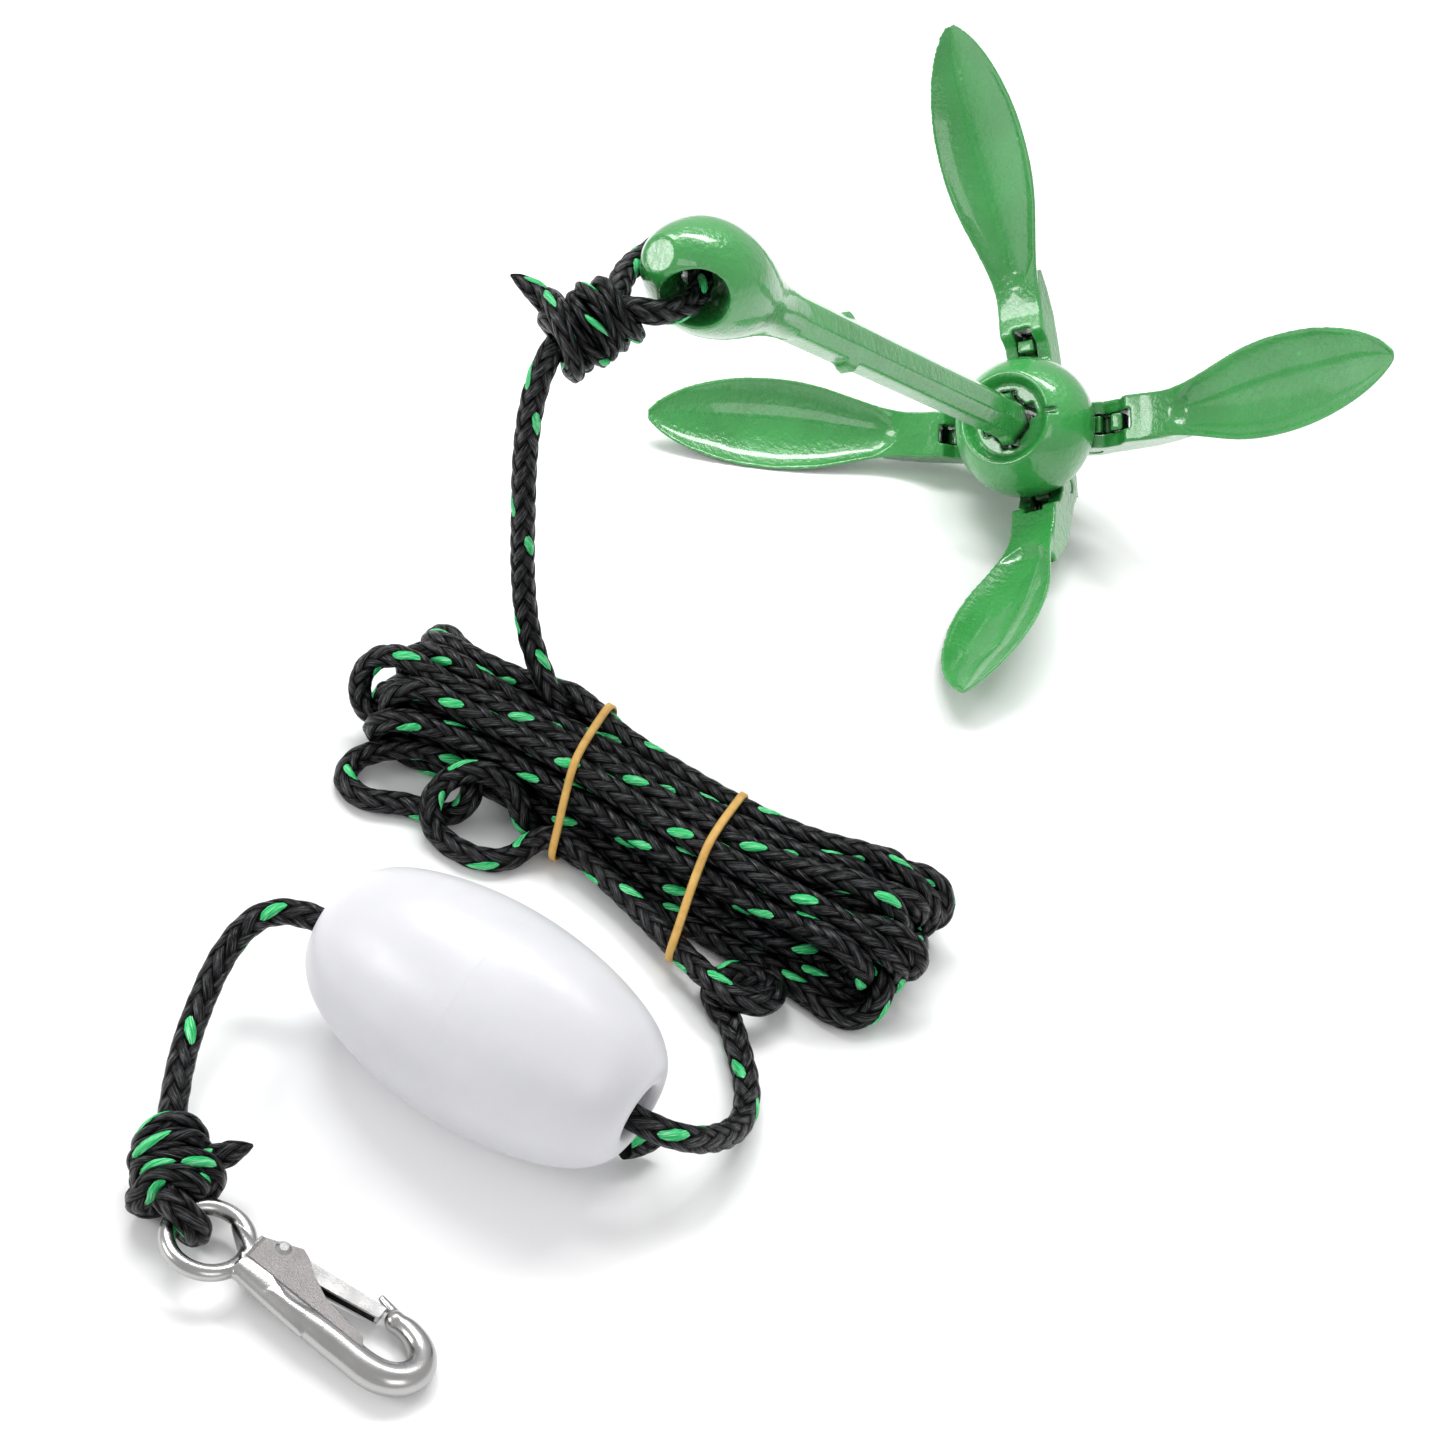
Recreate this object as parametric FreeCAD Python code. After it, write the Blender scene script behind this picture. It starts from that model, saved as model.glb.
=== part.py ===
import FreeCAD, Part
import math
import os

# Folding grapnel anchor with its rope, rubber-banded hank, float and snap hook.
# Millimetres, +Z up.  The anchor stands on two of its flukes, with its crown just clear,
# and the origin is the point on the floor below the middle of the anchor's box.

Vec = FreeCAD.Vector

# ---- how the anchor stands -------------------------------------------------
COLLAR_CENTRE = Vec(20.7, 55.6, 36.4)
STAND_TILT = 61.0            # shank from the vertical, degrees
STAND_HEADING = -126.0       # compass direction of the lean, from +X
STAND_SPIN = 129.9           # turn of the anchor about its own shank

# ---- shank: its own axis is z, with zero at the collar's centre --------------
SHANK_WIDTH = 14.0
SHANK_CHAMFER = 3.8
CROWN_END = -34.0
NECK_START = 188.0
HEAD_END = 252.6
HEAD_RADIUS = 16.4
HEAD_CENTRE = 228.0
EYE_BORE_RADIUS = 6.0
EYE_MOUTH_RADIUS = 8.8
EYE_TURN = 20.0              # eye axis about the shank, from -y, degrees
EYE_TILT = 44.0              # the near mouth leans towards the head's end, degrees
LOWER_LUG_AT = 17.0
MIDDLE_LUG_AT = 145.5
LUG_REACH = 9.9             # lug tip from the shank's axis

# ---- flukes: local x runs out from the hinge pin, z along the shank ----------
PIN_RADIUS = 3.0
PIN_CLEARANCE = 0.05
PIVOT_REACH = 21.5
PIVOT_HEIGHT = -15.4
FORK_WIDTH = 17.6
SLOT_WIDTH = 7.4
SLOT_END = 17.4
EAR_WIDTH = 6.4
LOBE_RADIUS = 8.0
FLUKES = {                   # azimuth about the shank, fold above square
    "right": (-2.0, -2.7),
    "up": (92.4, -2.4),
    "left": (175.6, 15.0),
    "low": (275.0, 23.4),
}

# palm sections: distance out, rim height, valley height, half width, thickness
PALM = [
    (22.0, 12.5, 12.4, 8.6, 10.5),
    (34.0, 15.6, 14.6, 8.9, 7.6),
    (46.0, 21.6, 18.6, 11.6, 5.4),
    (60.0, 29.6, 25.2, 15.6, 4.4),
    (76.0, 38.6, 33.8, 17.4, 4.0),
    (92.0, 47.4, 43.2, 16.0, 3.8),
    (106.0, 55.0, 51.8, 11.6, 3.4),
    (115.0, 59.6, 57.8, 6.2, 3.0),
    (119.4, 61.8, 61.2, 1.6, 2.2),
]

# ---- collar: a hollow ball that locks the flukes -----------------------------
COLLAR_RADIUS = 26.3
COLLAR_CAVITY = 22.4
COLLAR_BOTTOM = -6.0
COLLAR_RIM = 19.6
DISH_FLOOR = 15.6
PLATE_BOTTOM = 8.5
COLLAR_PLAY = 0.6

# ---- rope and what is on it ----------------------------------------------------
ROPE_RADIUS = 3.4
FLOAT_BORE_RADIUS = 6.5
FLOAT_RADIUS = 28.6
FLOAT_LEFT = Vec(-139.6, -265.6, FLOAT_RADIUS)
FLOAT_RIGHT = Vec(-51.8, -299.2, FLOAT_RADIUS)
BAND_THICKNESS = 1.3

# Hook: ring centre, then turns about Z, across and along the hook.
HOOK_PLACE = Vec(-139.7, -351.9, 9.0)
HOOK_YAW = -17.5
HOOK_PITCH = 4.7
HOOK_ROLL = -10.0

# Rope from the anchor knot down to the top of the hank.
LEAD_ROUTE = [
    Vec(-135.1, -144.0, 131.1),
    Vec(-136.0, -146.1, 115.9),
    Vec(-132.5, -147.8, 99.3),
    Vec(-128.8, -148.6, 81.8),
    Vec(-126.5, -148.1, 63.2),
    Vec(-122.2, -150.0, 46.6),
    Vec(-117.1, -153.7, 36.0),
]

# Rope from the hank round to the float, through it, and on to the hook's knot.
FLOAT_ROUTE = [
    Vec(-36.1, -239.1, 9.0),
    Vec(-31.1, -249.1, 5.2),
    Vec(-25.5, -262.1, 4.6),
    Vec(-24.9, -275.1, 6.4),
    Vec(-30.1, -287.1, 13.0),
    Vec(-38.9, -297.7, 21.6),
    Vec(-52.5, -300.5, 27.0),
    Vec(-83.5, -287.9, 26.4),
    Vec(-115.5, -275.3, 26.2),
    Vec(-143.5, -264.9, 27.4),
    Vec(-158.5, -266.5, 26.4),
    Vec(-164.1, -278.5, 21.4),
    Vec(-164.9, -294.1, 15.2),
    Vec(-163.5, -310.1, 12.0),
    Vec(-158.9, -326.1, 11.6),
]

# Rope through the eye, from one side of the knot's top to the other.
LOOP_ROUTE_LOCAL = [
    Vec(-12.5, -13.5, 256.5),
    Vec(-9.0, -17.0, 253.5),
    Vec(-4.0, -18.4, 249.0),
    Vec(0.5, -16.4, 243.5),
    Vec(2.0, -11.5, 237.6),
    Vec(1.2, -4.5, 232.6),
    Vec(-1.0, 3.5, 229.8),
    Vec(-4.0, 12.0, 229.2),
    Vec(-8.6, 19.6, 231.6),
    Vec(-15.0, 22.6, 238.0),
    Vec(-20.4, 18.4, 245.2),
    Vec(-22.4, 10.4, 251.0),
    Vec(-20.8, 0.0, 254.4),
    Vec(-17.5, -8.5, 257.6),
]

# Anchor knot: a barrel of turns along this line.
ANCHOR_KNOT_TOP = Vec(-117.5, -132.0, 143.7)
ANCHOR_KNOT_FOOT = Vec(-134.7, -143.2, 132.1)
ANCHOR_KNOT_RADIUS = 10.2
ANCHOR_TAIL = [
    Vec(-132.7, -136.0, 140.9),
    Vec(-138.7, -133.0, 144.5),
    Vec(-146.1, -132.8, 146.1),
]

HOOK_KNOT_TOP = Vec(-158.5, -327.5, 11.6)
HOOK_KNOT_FOOT = Vec(-151.0, -346.3, 10.8)
HOOK_KNOT_RADIUS = 9.4
HOOK_TAIL = [
    Vec(-147.5, -334.5, 12.6),
    Vec(-142.9, -331.9, 13.6),
    Vec(-138.1, -328.1, 14.6),
]
FLOAT_TAIL = [
    Vec(-53.5, -293.1, 7.0),
    Vec(-49.5, -289.7, 5.6),
    Vec(-44.5, -287.7, 4.4),
]

# Hank: centre line on the floor, with half widths and heights along it.
HANK_SECTIONS = [
    (-157.5, -160.1, 9.0, 16.0),
    (-147.5, -163.1, 22.0, 31.0),
    (-128.5, -168.1, 27.0, 38.0),
    (-102.5, -175.6, 25.5, 37.5),
    (-78.5, -184.6, 27.5, 38.5),
    (-56.0, -194.6, 25.5, 38.0),
    (-28.5, -202.6, 28.5, 39.0),
    (-3.5, -205.6, 27.0, 35.0),
    (11.5, -206.1, 21.0, 25.0),
    (18.5, -206.1, 9.0, 12.0),
]
LOOSE_LOOPS = [              # centre x, y, z, half length, half width, half height, turn
    (-147.5, -183.1, 6.0, 17.0, 9.5, 4.6, 12.0),
    (-119.5, -193.1, 9.0, 19.0, 11.0, 5.4, -8.0),
    (4.5, -196.1, 13.0, 19.0, 16.0, 5.0, -30.0),
    (-39.5, -231.1, 7.0, 12.0, 9.0, 4.4, -50.0),
]
BANDS = {"band_1": 3, "band_2": 5}


# ---- general helpers -------------------------------------------------------------
def stand_placement():
    """Placement of the anchor's own frame: z along the shank."""
    heading = FreeCAD.Rotation(Vec(0, 0, 1), STAND_HEADING)
    tilt = FreeCAD.Rotation(Vec(0, 1, 0), STAND_TILT)
    spin = FreeCAD.Rotation(Vec(0, 0, 1), STAND_SPIN)
    return FreeCAD.Placement(COLLAR_CENTRE, heading.multiply(tilt).multiply(spin))


def placed(shape, placement):
    """A copy of the shape moved by the placement, with the move in its geometry."""
    moved = shape.copy()
    moved.transformShape(placement.toMatrix())
    return moved


def stand(shape):
    """The shape carried from the anchor's own frame to where it stands."""
    return placed(shape, stand_placement())


def turned(shape, degrees):
    """The shape turned about the shank's axis."""
    return placed(shape, FreeCAD.Placement(Vec(), FreeCAD.Rotation(Vec(0, 0, 1), degrees)))


def rod(start, end, radius):
    """A plain cylinder between two points."""
    return Part.makeCylinder(radius, (end - start).Length, start, end - start)


def prism(outline, width):
    """A closed outline in the x-z plane, given a width across y."""
    points = [Vec(x, -width / 2, z) for x, z in outline]
    face = Part.Face(Part.makePolygon(points + points[:1]))
    return face.extrude(Vec(0, width, 0))


def plate(outline, low, high):
    """A closed outline in the x-y plane, from one height to another."""
    points = [Vec(x, y, low) for x, y in outline]
    face = Part.Face(Part.makePolygon(points + points[:1]))
    return face.extrude(Vec(0, 0, high - low))


def turned_profile(profile):
    """A solid of revolution about z from (radius, height) points, closed along the axis."""
    curve = Part.BSplineCurve()
    curve.interpolate([Vec(r, 0, z) for r, z in profile])
    first = Vec(profile[0][0], 0, profile[0][1])
    last = Vec(profile[-1][0], 0, profile[-1][1])
    edges = [curve.toShape()]
    if last.x > 1e-6:
        edges.append(Part.makeLine(last, Vec(0, 0, last.z)))
    edges.append(Part.makeLine(Vec(0, 0, last.z), Vec(0, 0, first.z)))
    if first.x > 1e-6:
        edges.append(Part.makeLine(Vec(0, 0, first.z), first))
    face = Part.Face(Part.Wire(edges))
    return face.revolve(Vec(), Vec(0, 0, 1), 360)


def along(shape, start, end):
    """A shape made about +z from zero, carried so that its axis runs from start to end."""
    turn = FreeCAD.Rotation(Vec(0, 0, 1), end - start)
    return placed(shape, FreeCAD.Placement(start, turn))


# ---- rope ----------------------------------------------------------------------------
def rope_path(route):
    """Straight runs joined by tangent arcs, and the list of the arcs' radii."""
    edges = []
    radii = []
    last = route[0]
    for before, corner, after in zip(route, route[1:], route[2:]):
        run_in = corner - before
        run_out = after - corner
        turn = run_in.getAngle(run_out)
        cut = 0.45 * min(run_in.Length, run_out.Length)
        radius = cut / math.tan(turn / 2)
        radii.append(radius)
        way_in = Vec(run_in).normalize()
        way_out = Vec(run_out).normalize()
        arc_start = corner - way_in * cut
        arc_end = corner + way_out * cut
        inward = (way_out - way_in).normalize()
        depth = radius / math.cos(turn / 2) - radius
        middle = corner + inward * depth
        edges.append(Part.LineSegment(last, arc_start).toShape())
        edges.append(Part.Arc(arc_start, middle, arc_end).toShape())
        last = arc_end
    edges.append(Part.LineSegment(last, route[-1]).toShape())
    return Part.Wire(edges), radii


def rope_tube(name, route):
    """A round tube along the route, checked against its section times its length."""
    path, radii = rope_path(route)
    section = Part.Wire(Part.makeCircle(ROPE_RADIUS, route[0], route[1] - route[0]))
    tube = path.makePipeShell([section], True, False)
    expected = math.pi * ROPE_RADIUS ** 2 * path.Length
    print(name, "length", round(path.Length, 1), "volume ratio", round(tube.Volume / expected, 4))
    print(name, "radii", [round(radius, 1) for radius in radii])
    return tube


def knot_barrel(top, foot, radius):
    """The closed outer shape of a knot: a barrel with rounded ends."""
    length = (foot - top).Length
    profile = [
        (radius * 0.62, 0.0),
        (radius * 0.90, length * 0.12),
        (radius, length * 0.35),
        (radius * 0.97, length * 0.70),
        (radius * 0.80, length * 0.92),
        (radius * 0.58, length),
    ]
    return along(turned_profile(profile), top, foot)


# ---- anchor ----------------------------------------------------------------------------
def octagon_bar(width, chamfer, low, high):
    """A square bar with chamfered edges along z."""
    half = width / 2
    inner = half - chamfer
    outline = [
        (inner, -half), (half, -inner), (half, inner), (inner, half),
        (-inner, half), (-half, inner), (-half, -inner), (-inner, -half),
    ]
    return plate(outline, low, high)


def head():
    """The bulb at the shank's free end, from its neck to the gate flat."""
    profile = [
        (6.2, NECK_START - 14.0),
        (7.8, NECK_START - 2.0),
        (9.6, NECK_START + 9.0),
        (12.2, NECK_START + 18.0),
        (15.0, NECK_START + 28.0),
        (HEAD_RADIUS, HEAD_CENTRE - 1.0),
        (15.6, HEAD_CENTRE + 7.0),
        (12.2, HEAD_CENTRE + 15.4),
        (8.6, HEAD_CENTRE + 21.0),
        (5.4, HEAD_END),
    ]
    return turned_profile(profile)


def eye_way(side):
    """Direction of one mouth of the eye: 1 is the leaning mouth, -1 the one across from it."""
    turn = math.radians(EYE_TURN - 90.0)
    lean = math.radians(EYE_TILT if side == 1 else 5.0)
    return Vec(side * math.cos(turn) * math.cos(lean), side * math.sin(turn) * math.cos(lean), math.sin(lean))


def eye_funnel(side):
    """Half of the eye's bore, from just past the middle out through one mouth."""
    centre = Vec(0, 0, HEAD_CENTRE + 1.5)
    reach = HEAD_RADIUS + 8.0
    growth = (EYE_MOUTH_RADIUS - EYE_BORE_RADIUS) / 9.0
    outer = EYE_BORE_RADIUS + growth * (reach - 4.0)
    outline = [(0, -3.0), (EYE_BORE_RADIUS, -3.0), (EYE_BORE_RADIUS, 4.0), (outer, reach), (0, reach)]
    points = [Vec(x, 0, z) for x, z in outline]
    face = Part.Face(Part.makePolygon(points + points[:1]))
    return along(face.revolve(Vec(), Vec(0, 0, 1), 360), centre, centre + eye_way(side))


def lug_pair(height):
    """Two small lugs on opposite faces of the shank."""
    outline = [(5.0, -4.6), (LUG_REACH - 1.4, -3.4), (LUG_REACH, -0.4), (LUG_REACH - 1.2, 3.4), (5.0, 5.4)]
    pair = []
    for azimuth in (90.0, 270.0):
        lug = placed(prism(outline, 5.0), FreeCAD.Placement(Vec(0, 0, height), FreeCAD.Rotation()))
        pair.append(turned(lug, azimuth))
    return pair


def crown_ear():
    """One ear of the crown, with the two blocks seen through the fork's slot."""
    pivot_x = PIVOT_REACH
    pivot_z = PIVOT_HEIGHT
    outline = [
        (4.0, -34.0), (15.0, -34.0), (24.0, -32.6), (24.6, -27.0), (22.0, -25.6),
        (pivot_x + 6.6, pivot_z - 5.6), (pivot_x + 12.6, pivot_z - 2.0), (pivot_x + 15.0, pivot_z + 3.6),
        (pivot_x + 14.0, pivot_z + 8.4), (pivot_x + 9.4, pivot_z + 8.6), (pivot_x + 8.6, pivot_z + 3.4),
        (pivot_x + 5.6, pivot_z + 3.2), (pivot_x + 5.2, pivot_z + 7.4), (pivot_x - 6.0, pivot_z + 7.4),
        (8.0, -7.4), (4.0, -7.4),
    ]
    toe = [(8.0, -34.6), (15.0, -34.6), (23.0, -33.4), (23.4, -28.6), (16.0, -28.0), (8.0, -28.0)]
    ear = prism(outline, EAR_WIDTH).fuse(prism(toe, 11.0))
    hole = rod(Vec(pivot_x, -20, pivot_z), Vec(pivot_x, 20, pivot_z), PIN_RADIUS)
    return ear.cut(hole)


def shank():
    """Bar, crown with four ears, lugs and the eye at the head."""
    bar = octagon_bar(SHANK_WIDTH, SHANK_CHAMFER, CROWN_END, NECK_START)
    crown = Part.makeCylinder(10.6, 27.0, Vec(0, 0, -35.0))
    body = bar.fuse(crown)
    for azimuth, _ in FLUKES.values():
        body = body.fuse(turned(crown_ear(), azimuth))
    for height in (LOWER_LUG_AT, MIDDLE_LUG_AT):
        for lug in lug_pair(height):
            body = body.fuse(lug)
    body = body.fuse(head().cut(eye_funnel(1)).cut(eye_funnel(-1)))
    return body.removeSplitter()


def palm_section(out, rim, valley, half, thick):
    """A crescent across the palm: hollow side to the head, rounded back."""
    edge_drop = min(1.6, thick * 0.5)
    left = Vec(out, -half, rim)
    right = Vec(out, half, rim)
    left_low = Vec(out, -half, rim - edge_drop)
    right_low = Vec(out, half, rim - edge_drop)
    top = Part.Arc(left, Vec(out, 0, valley), right).toShape()
    back = Part.Arc(right_low, Vec(out, 0, valley - thick), left_low).toShape()
    right_edge = Part.makeLine(right, right_low)
    left_edge = Part.makeLine(left_low, left)
    return Part.Wire([top, right_edge, back, left_edge])


def fluke():
    """One fluke in its own frame: hinge at the origin, palm out along x, square to the shank."""
    palm = Part.makeLoft([palm_section(*row) for row in PALM], True, False)
    bar_outline = [
        (-4.0, -4.0), (0.0, -7.0), (10.0, -5.2), (24.0, -1.6), (34.0, 4.0), (40.0, 9.0),
        (38.0, 13.2), (24.0, 12.5), (15.5, 12.5), (12.0, 8.0), (6.0, 6.2), (-4.0, 5.4),
    ]
    root = prism(bar_outline, FORK_WIDTH)
    lobe = rod(Vec(0, -FORK_WIDTH / 2, 0), Vec(0, FORK_WIDTH / 2, 0), LOBE_RADIUS)
    body = root.fuse(lobe)
    body = body.fuse(palm)
    rib = prism([(30.0, 6.0), (44.0, 10.6), (60.0, 19.6), (62.0, 23.0), (44.0, 16.0), (32.0, 12.0)], 7.0)
    body = body.fuse(rib)
    slot = Part.makeBox(SLOT_END + 20.0, SLOT_WIDTH, 60.0, Vec(-20.0, -SLOT_WIDTH / 2, -30.0))
    body = body.cut(slot)
    bore = rod(Vec(0, -20, 0), Vec(0, 20, 0), PIN_RADIUS + PIN_CLEARANCE)
    return body.cut(bore)


def fluke_placement(azimuth, fold):
    """From the fluke's own frame to the anchor's: fold about the pin, then turn to its azimuth."""
    to_pivot = FreeCAD.Placement(Vec(PIVOT_REACH, 0, PIVOT_HEIGHT), FreeCAD.Rotation(Vec(0, -1, 0), fold))
    to_azimuth = FreeCAD.Placement(Vec(), FreeCAD.Rotation(Vec(0, 0, 1), azimuth))
    return to_azimuth.multiply(to_pivot)


def fluke_pin():
    """Rivet through a fork and its ear, with its ends just below the fork's sides."""
    half = FORK_WIDTH / 2 - 0.4
    return rod(Vec(PIVOT_REACH, -half, PIVOT_HEIGHT), Vec(PIVOT_REACH, half, PIVOT_HEIGHT), PIN_RADIUS)


def collar():
    """Hollow ball with a dished top, a cross-shaped aperture and an open bottom."""
    ball = Part.makeSphere(COLLAR_RADIUS)
    lower = Part.makeBox(80, 80, 40, Vec(-40, -40, COLLAR_BOTTOM - 40.0))
    upper = Part.makeBox(80, 80, 40, Vec(-40, -40, COLLAR_RIM))
    shell = ball.cut(lower).cut(upper)
    cavity = Part.makeSphere(COLLAR_CAVITY)
    cavity = cavity.cut(Part.makeBox(80, 80, 40, Vec(-40, -40, PLATE_BOTTOM)))
    shell = shell.cut(cavity)
    rim_radius = math.sqrt(COLLAR_RADIUS ** 2 - COLLAR_RIM ** 2) - 1.4
    depth = COLLAR_RIM - DISH_FLOOR
    dish = Part.makeCone(rim_radius - 2.6, rim_radius, depth + 0.01, Vec(0, 0, DISH_FLOOR))
    shell = shell.cut(dish)
    bore = octagon_bar(SHANK_WIDTH + 2 * COLLAR_PLAY, SHANK_CHAMFER, -40.0, 40.0)
    shell = shell.cut(bore)
    notch_reach = LUG_REACH + 0.8
    for width, azimuth in ((6.4, 90.0), (5.4, 15.0)):
        notch = Part.makeBox(2 * notch_reach, width, 80.0, Vec(-notch_reach, -width / 2, -40.0))
        shell = shell.cut(turned(notch, azimuth))
    groove = Part.makeBox(14.0, 2.6, 4.0, Vec(rim_radius - 4.0, -1.3, COLLAR_RIM - 3.0))
    return shell.cut(turned(groove, 2.0))


# ---- hank and bands ----------------------------------------------------------------------
def hank_way(index):
    """Direction of the hank's centre line at a section."""
    low = HANK_SECTIONS[max(index - 1, 0)]
    high = HANK_SECTIONS[min(index + 1, len(HANK_SECTIONS) - 1)]
    return Vec(high[0] - low[0], high[1] - low[1], 0).normalize()


def hank_oval(index, grow):
    """Oval across the hank at a section, larger all round by grow."""
    x, y, half, height = HANK_SECTIONS[index]
    way = hank_way(index)
    across = Vec(-way.y, way.x, 0)
    centre = Vec(x, y, height / 2 + 1.6)
    a = half + grow
    b = height / 2 + grow
    if a >= b:
        oval = Part.Ellipse(centre + across * a, centre + Vec(0, 0, b), centre)
    else:
        oval = Part.Ellipse(centre + Vec(0, 0, b), centre + across * a, centre)
    return Part.Wire(oval.toShape())


def hank():
    """One closed solid of the hank's outer shape, with its loose loops as pads."""
    body = Part.makeLoft([hank_oval(index, 0.0) for index in range(len(HANK_SECTIONS))], True, True)
    for x, y, z, half_x, half_y, half_z, turn in LOOSE_LOOPS:
        pad = Part.Ellipse(Vec(), half_x, half_y).toShape()
        pad = Part.Face(Part.Wire(pad)).extrude(Vec(0, 0, 2 * half_z))
        turn_z = FreeCAD.Rotation(Vec(0, 0, 1), turn)
        body = body.fuse(placed(pad, FreeCAD.Placement(Vec(x, y, z - half_z), turn_z)))
    return body


def band(index):
    """A rubber band: a thin flat ring round the hank."""
    way = hank_way(index) * 1.2
    outer = Part.Face(hank_oval(index, BAND_THICKNESS + 0.1))
    inner = Part.Face(hank_oval(index, 0.1))
    return outer.cut(inner).extrude(way)


# ---- float -----------------------------------------------------------------------------------
def float_body():
    """Barrel-shaped float with a straight bore and rounded lips."""
    length = (FLOAT_RIGHT - FLOAT_LEFT).Length
    half = length / 2
    profile = [
        (10.6, 0.0),
        (14.6, 1.6),
        (19.6, 7.6),
        (25.6, 22.0),
        (FLOAT_RADIUS - 0.02, half),
        (25.6, length - 22.0),
        (19.6, length - 7.6),
        (14.6, length - 1.6),
        (10.6, length),
    ]
    body = turned_profile(profile)
    body = body.cut(Part.makeCylinder(FLOAT_BORE_RADIUS, length + 20.0, Vec(0, 0, -10.0)))
    return along(body, FLOAT_LEFT, FLOAT_RIGHT)


# ---- snap hook: x along the hook from the ring's centre, y to the gate side ----------------------
HOOK_RIVET = Vec(15.1, 7.8, 0)
RING_RADIUS = 9.4
RING_BAR_RADIUS = 2.0
LOOP_WAY = Vec(-0.90, 0.436, 0)      # from the ring's centre towards the knot
GATE_HALF = 1.5
WEB_HALF = 2.9
SLOT_HALF = 1.65


def hook_placement():
    """Where the snap hook lies."""
    yaw = FreeCAD.Rotation(Vec(0, 0, 1), HOOK_YAW)
    pitch = FreeCAD.Rotation(Vec(0, 1, 0), HOOK_PITCH)
    roll = FreeCAD.Rotation(Vec(1, 0, 0), HOOK_ROLL)
    return FreeCAD.Placement(HOOK_PLACE, yaw.multiply(pitch).multiply(roll))


def hook_bar():
    """Round bar from the ring down the back, round the bend and up to the nose."""
    stations = [
        (9.6, -1.4, 2.9, -4.0), (20.0, -2.3, 3.2, -5.0), (32.0, -3.4, 3.5, -5.0), (44.0, -4.4, 3.7, -3.0),
        (50.6, -4.3, 3.8, 12.0), (55.4, -1.4, 3.8, 50.0), (57.0, 3.2, 3.6, 90.0), (54.8, 7.6, 3.2, 132.0),
        (50.4, 10.0, 2.8, 165.0), (45.6, 10.4, 2.2, 186.0),
    ]
    rings = []
    for x, y, radius, way in stations:
        angle = math.radians(way)
        rings.append(Part.Wire(Part.makeCircle(radius, Vec(x, y, 0), Vec(math.cos(angle), math.sin(angle), 0))))
    return Part.makeLoft(rings, True, False)


def hook_body():
    """Ring, back bar, slotted web, bend and nose with its small horn."""
    body = Part.makeTorus(RING_RADIUS, RING_BAR_RADIUS)
    body = body.fuse(hook_bar())
    web_outline = [
        (8.6, 0.0), (9.2, 7.0), (18.8, 10.8), (21.4, 9.4), (24.6, 6.6), (31.0, 2.8), (43.0, 0.0),
        (45.0, -4.0), (20.0, -2.4), (9.6, -1.4),
    ]
    body = body.fuse(plate(web_outline, -WEB_HALF, WEB_HALF))
    slot_outline = [(11.0, 2.6), (11.0, 14.0), (48.0, 14.0), (43.2, 1.0), (32.0, 0.8), (20.0, 2.6)]
    body = body.cut(plate(slot_outline, -SLOT_HALF, SLOT_HALF))
    body = body.fuse(Part.makeSphere(2.5, Vec(45.6, 10.4, 0)))
    horn = Part.makeCone(1.7, 0.8, 7.4, Vec(46.2, 11.2, 0), Vec(-7.0, 2.6, 0))
    body = body.fuse(horn)
    hole = Part.makeCylinder(1.2, 20.0, HOOK_RIVET + Vec(0, 0, -10.0))
    return body.cut(hole)


def hook_gate():
    """Gate folded from sheet: a channel open towards the back bar."""
    outer_outline = [
        (12.6, 6.4), (12.6, 9.2), (14.6, 10.6), (22.0, 9.9), (42.4, 11.0), (42.4, 7.6), (26.0, 5.6), (18.0, 5.2),
    ]
    inner_outline = [
        (11.0, 5.0), (11.0, 8.6), (14.8, 9.8), (22.0, 9.1), (44.0, 10.2), (44.0, 4.0), (11.0, 4.0),
    ]
    gate = plate(outer_outline, -GATE_HALF, GATE_HALF)
    gate = gate.cut(plate(inner_outline, -GATE_HALF + 0.6, GATE_HALF - 0.6))
    end_cap = plate([(41.6, 7.7), (42.4, 7.7), (42.4, 10.6), (41.6, 10.6)], -GATE_HALF + 0.3, GATE_HALF - 0.3)
    hole = Part.makeCylinder(1.25, 20.0, HOOK_RIVET + Vec(0, 0, -10.0))
    return gate.fuse(end_cap).cut(hole)


def hook_rivet():
    """Rivet that the gate turns on, with a low head on each face of the web."""
    pin = Part.makeCylinder(1.2, 2 * WEB_HALF, HOOK_RIVET + Vec(0, 0, -WEB_HALF))
    for side in (1, -1):
        start = HOOK_RIVET + Vec(0, 0, WEB_HALF * side)
        pin = pin.fuse(Part.makeCone(2.0, 1.1, 0.6, start, Vec(0, 0, side)))
    return pin


def hook_spring():
    """Spring inside the gate: two turns round the rivet and a leg on the slot's floor."""
    spring = Part.makeTorus(1.65, 0.3, HOOK_RIVET + Vec(0, 0, 0.27))
    spring = spring.fuse(Part.makeTorus(1.65, 0.3, HOOK_RIVET + Vec(0, 0, -0.27)))
    return spring.fuse(rod(HOOK_RIVET + Vec(-1.65, 0.0, -0.3), Vec(13.4, 2.9, -0.3), 0.3))


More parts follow.
